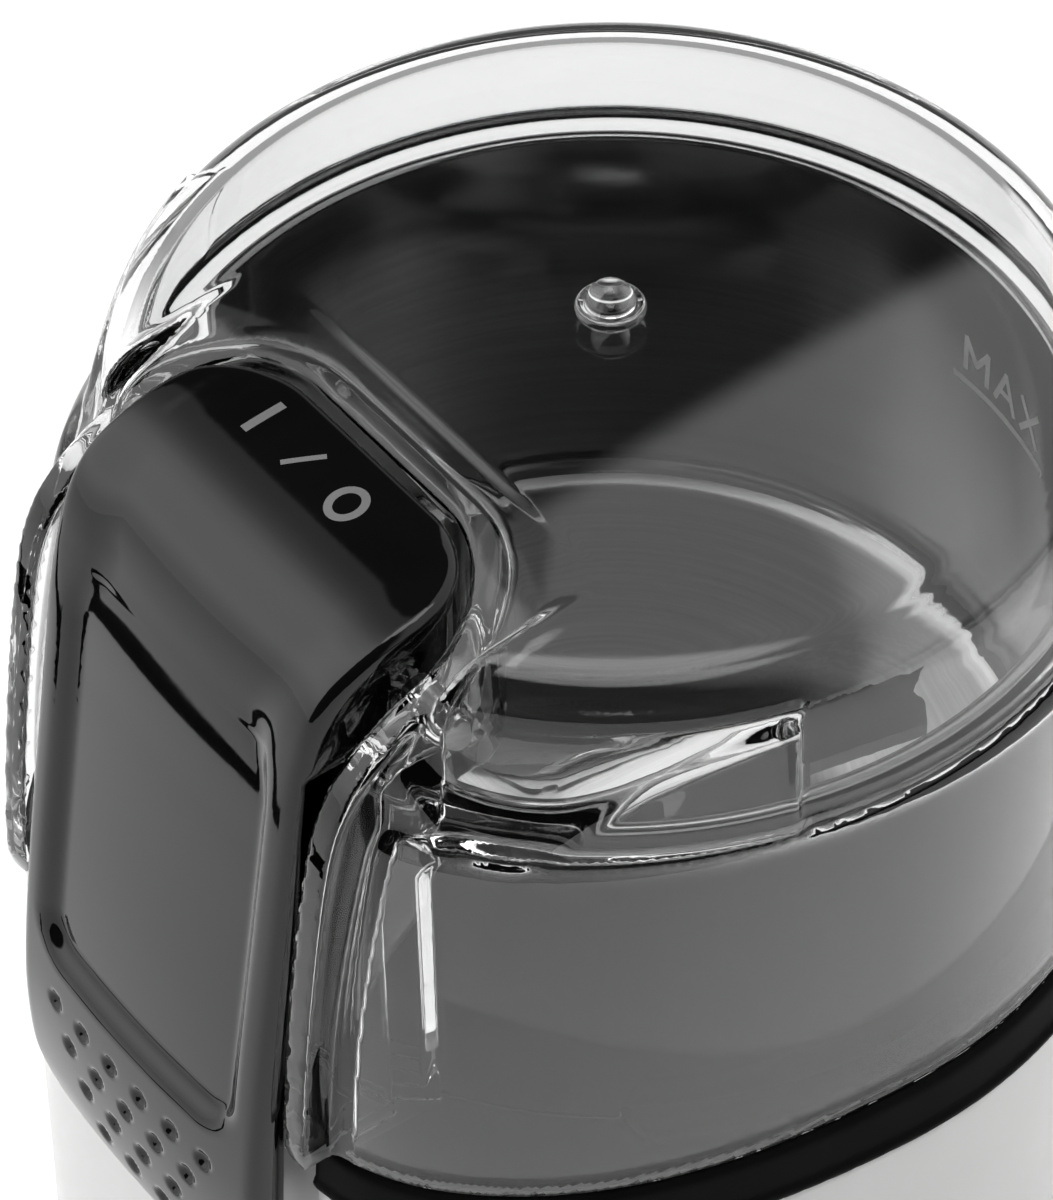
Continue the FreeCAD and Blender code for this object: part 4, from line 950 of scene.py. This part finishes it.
def dress_faces(obj, mat, chosen):
    """Gives the faces that a test on normal and centre picks a second material."""
    obj.data.materials.append(mat)
    for face in obj.data.polygons:
        if chosen(face.normal, face.center):
            face.material_index = 1


dress_faces(bowl, floor_steel, lambda n, c: n.z > 0.8 and c.z < (floor_z + 2) * MM)
# The lid's downward faces at its lower edge take the painted highlight.
dress_faces(lid, edge_highlight, lambda n, c: n.z < -0.4 and c.z < (SEAT + 0.45) * MM)

CAD_FINISH = {
    "base_plate": grey_parts,
    "cooling_fan": grey_parts,
    "lower_bracket": grey_parts,
    "upper_bracket": grey_parts,
    "feet": rubber,
    "cord_gland": rubber,
    "bowl_gasket": rubber,
    "motor_mounts": rubber,
    "shaft_seal": rubber,
    "switch_plunger": black_satin,
    "microswitch_body": black_satin,
    "motor_stator": core_steel,
    "armature_core": core_steel,
    "field_coil_left": copper,
    "field_coil_right": copper,
    "armature_winding": copper,
    "commutator": copper,
    "upper_bearing": brass,
    "lower_bearing": brass,
    "brush_holder_left": brass,
    "brush_holder_right": brass,
    "carbon_brush_left": carbon,
    "carbon_brush_right": carbon,
    "blade": steel_painted_shade,
}
for name, obj in nodes.items():
    if obj.hide_render:
        continue
    dress(obj, CAD_FINISH.get(name, screw_steel))
    obj.data.polygons.foreach_set("use_smooth", [True] * len(obj.data.polygons))
    sharp(obj, 30)


# Floor, world and lights

def floor():
    size = 6000
    corners = [(-size, -size, 0), (size, -size, 0), (size, size, 0), (-size, size, 0)]
    obj = new_mesh("floor", corners, [(0, 1, 2, 3)])
    dress(obj, plastic("floor_paper", grey(0.80), grey(0.84), 0.6, 0.8, 60, 0.0))


floor()


def light_flag():
    """Black card on the floor, out of the view and seen by reflections alone.

    It draws the dark line across the lever's face."""
    near, far, half, lift = (-90, -270), (-275, -163), 19, 1.5
    along = Vector((far[0] - near[0], far[1] - near[1])).normalized()
    side = Vector((along.y, -along.x)) * half
    ends = [Vector(near) - side, Vector(near) + side, Vector(far) + side, Vector(far) - side]
    obj = new_mesh("light_flag", [(p.x, p.y, lift) for p in ends], [(0, 1, 2, 3)])
    card = plastic("flag_card", grey(0.004), grey(0.006), 0.9, 1.0, 300, 0.0, specular=0.0)
    dress(obj, card)
    obj.visible_camera = False
    obj.visible_diffuse = False
    obj.visible_shadow = False
    obj.visible_transmission = False


light_flag()


def studio():
    """World: a dim room with broad bright boxes, given by direction."""
    world = bpy.data.worlds.new("studio")
    bpy.context.scene.world = world
    world.use_nodes = True
    tree = world.node_tree
    back = tree.nodes["Background"]
    coords = tree.nodes.new("ShaderNodeTexCoord")
    split = tree.nodes.new("ShaderNodeSeparateXYZ")
    tree.links.new(coords.outputs["Generated"], split.inputs["Vector"])

    def between(source, start, end, low=0.0, high=1.0):
        node = tree.nodes.new("ShaderNodeMapRange")
        node.interpolation_type = "SMOOTHSTEP"
        node.inputs["From Min"].default_value = start
        node.inputs["From Max"].default_value = end
        node.inputs["To Min"].default_value = low
        node.inputs["To Max"].default_value = high
        tree.links.new(source, node.inputs["Value"])
        return node.outputs["Result"]

    def product(first, *others):
        for other in others:
            first = maths(tree, "MULTIPLY", first, other)
        return first

    x, y, z = (split.outputs[i] for i in range(3))
    # broad bright side behind and to the right
    side = product(between(x, -0.499, -0.475), between(y, 0.02, 0.18), between(z, 0.02, 0.22))
    # tall box in front on the left, brightest low down and cut off sharply towards the back
    front = product(
        between(y, 0.178, 0.164), between(x, -0.15, -0.25),
        between(y, -0.25, 0.17, 2.4, 0.45), between(z, 0.0, 0.5, 0.62, 1.0),
    )
    # low wall of light behind on the left
    low_left = product(
        between(x, -0.475, -0.499), between(y, 0.164, 0.178), between(z, 0.50, 0.38)
    )
    # small high lamp, for the fan of light on the brushed floor
    aim = maths(tree, "ADD", product(y, 0.155), product(z, 0.967))
    lamp = between(maths(tree, "ADD", product(x, -0.2), aim), 0.972, 0.988)
    total = maths(tree, "ADD", product(side, 0.9), front)
    for share in (product(low_left, 0.35), product(lamp, 3.0), 0.035):
        total = maths(tree, "ADD", total, share)
    tree.links.new(total, back.inputs["Strength"])
    back.inputs["Color"].default_value = (1, 1, 1, 1)


studio()


def sky_light():
    """Very soft light from above for floor and shadows; the boxes of the world give the gloss."""
    data = bpy.data.lights.new("sky_light", "SUN")
    data.energy = 1.7
    data.angle = math.radians(60)
    obj = bpy.data.objects.new("sky_light", data)
    bpy.context.scene.collection.objects.link(obj)
    obj.rotation_mode = "QUATERNION"
    obj.rotation_quaternion = Vector((0.3, -0.5, -2.2)).to_track_quat("-Z", "Y")
    obj.visible_glossy = False
    obj.visible_transmission = False


sky_light()

bpy.context.scene.view_settings.view_transform = "Standard"
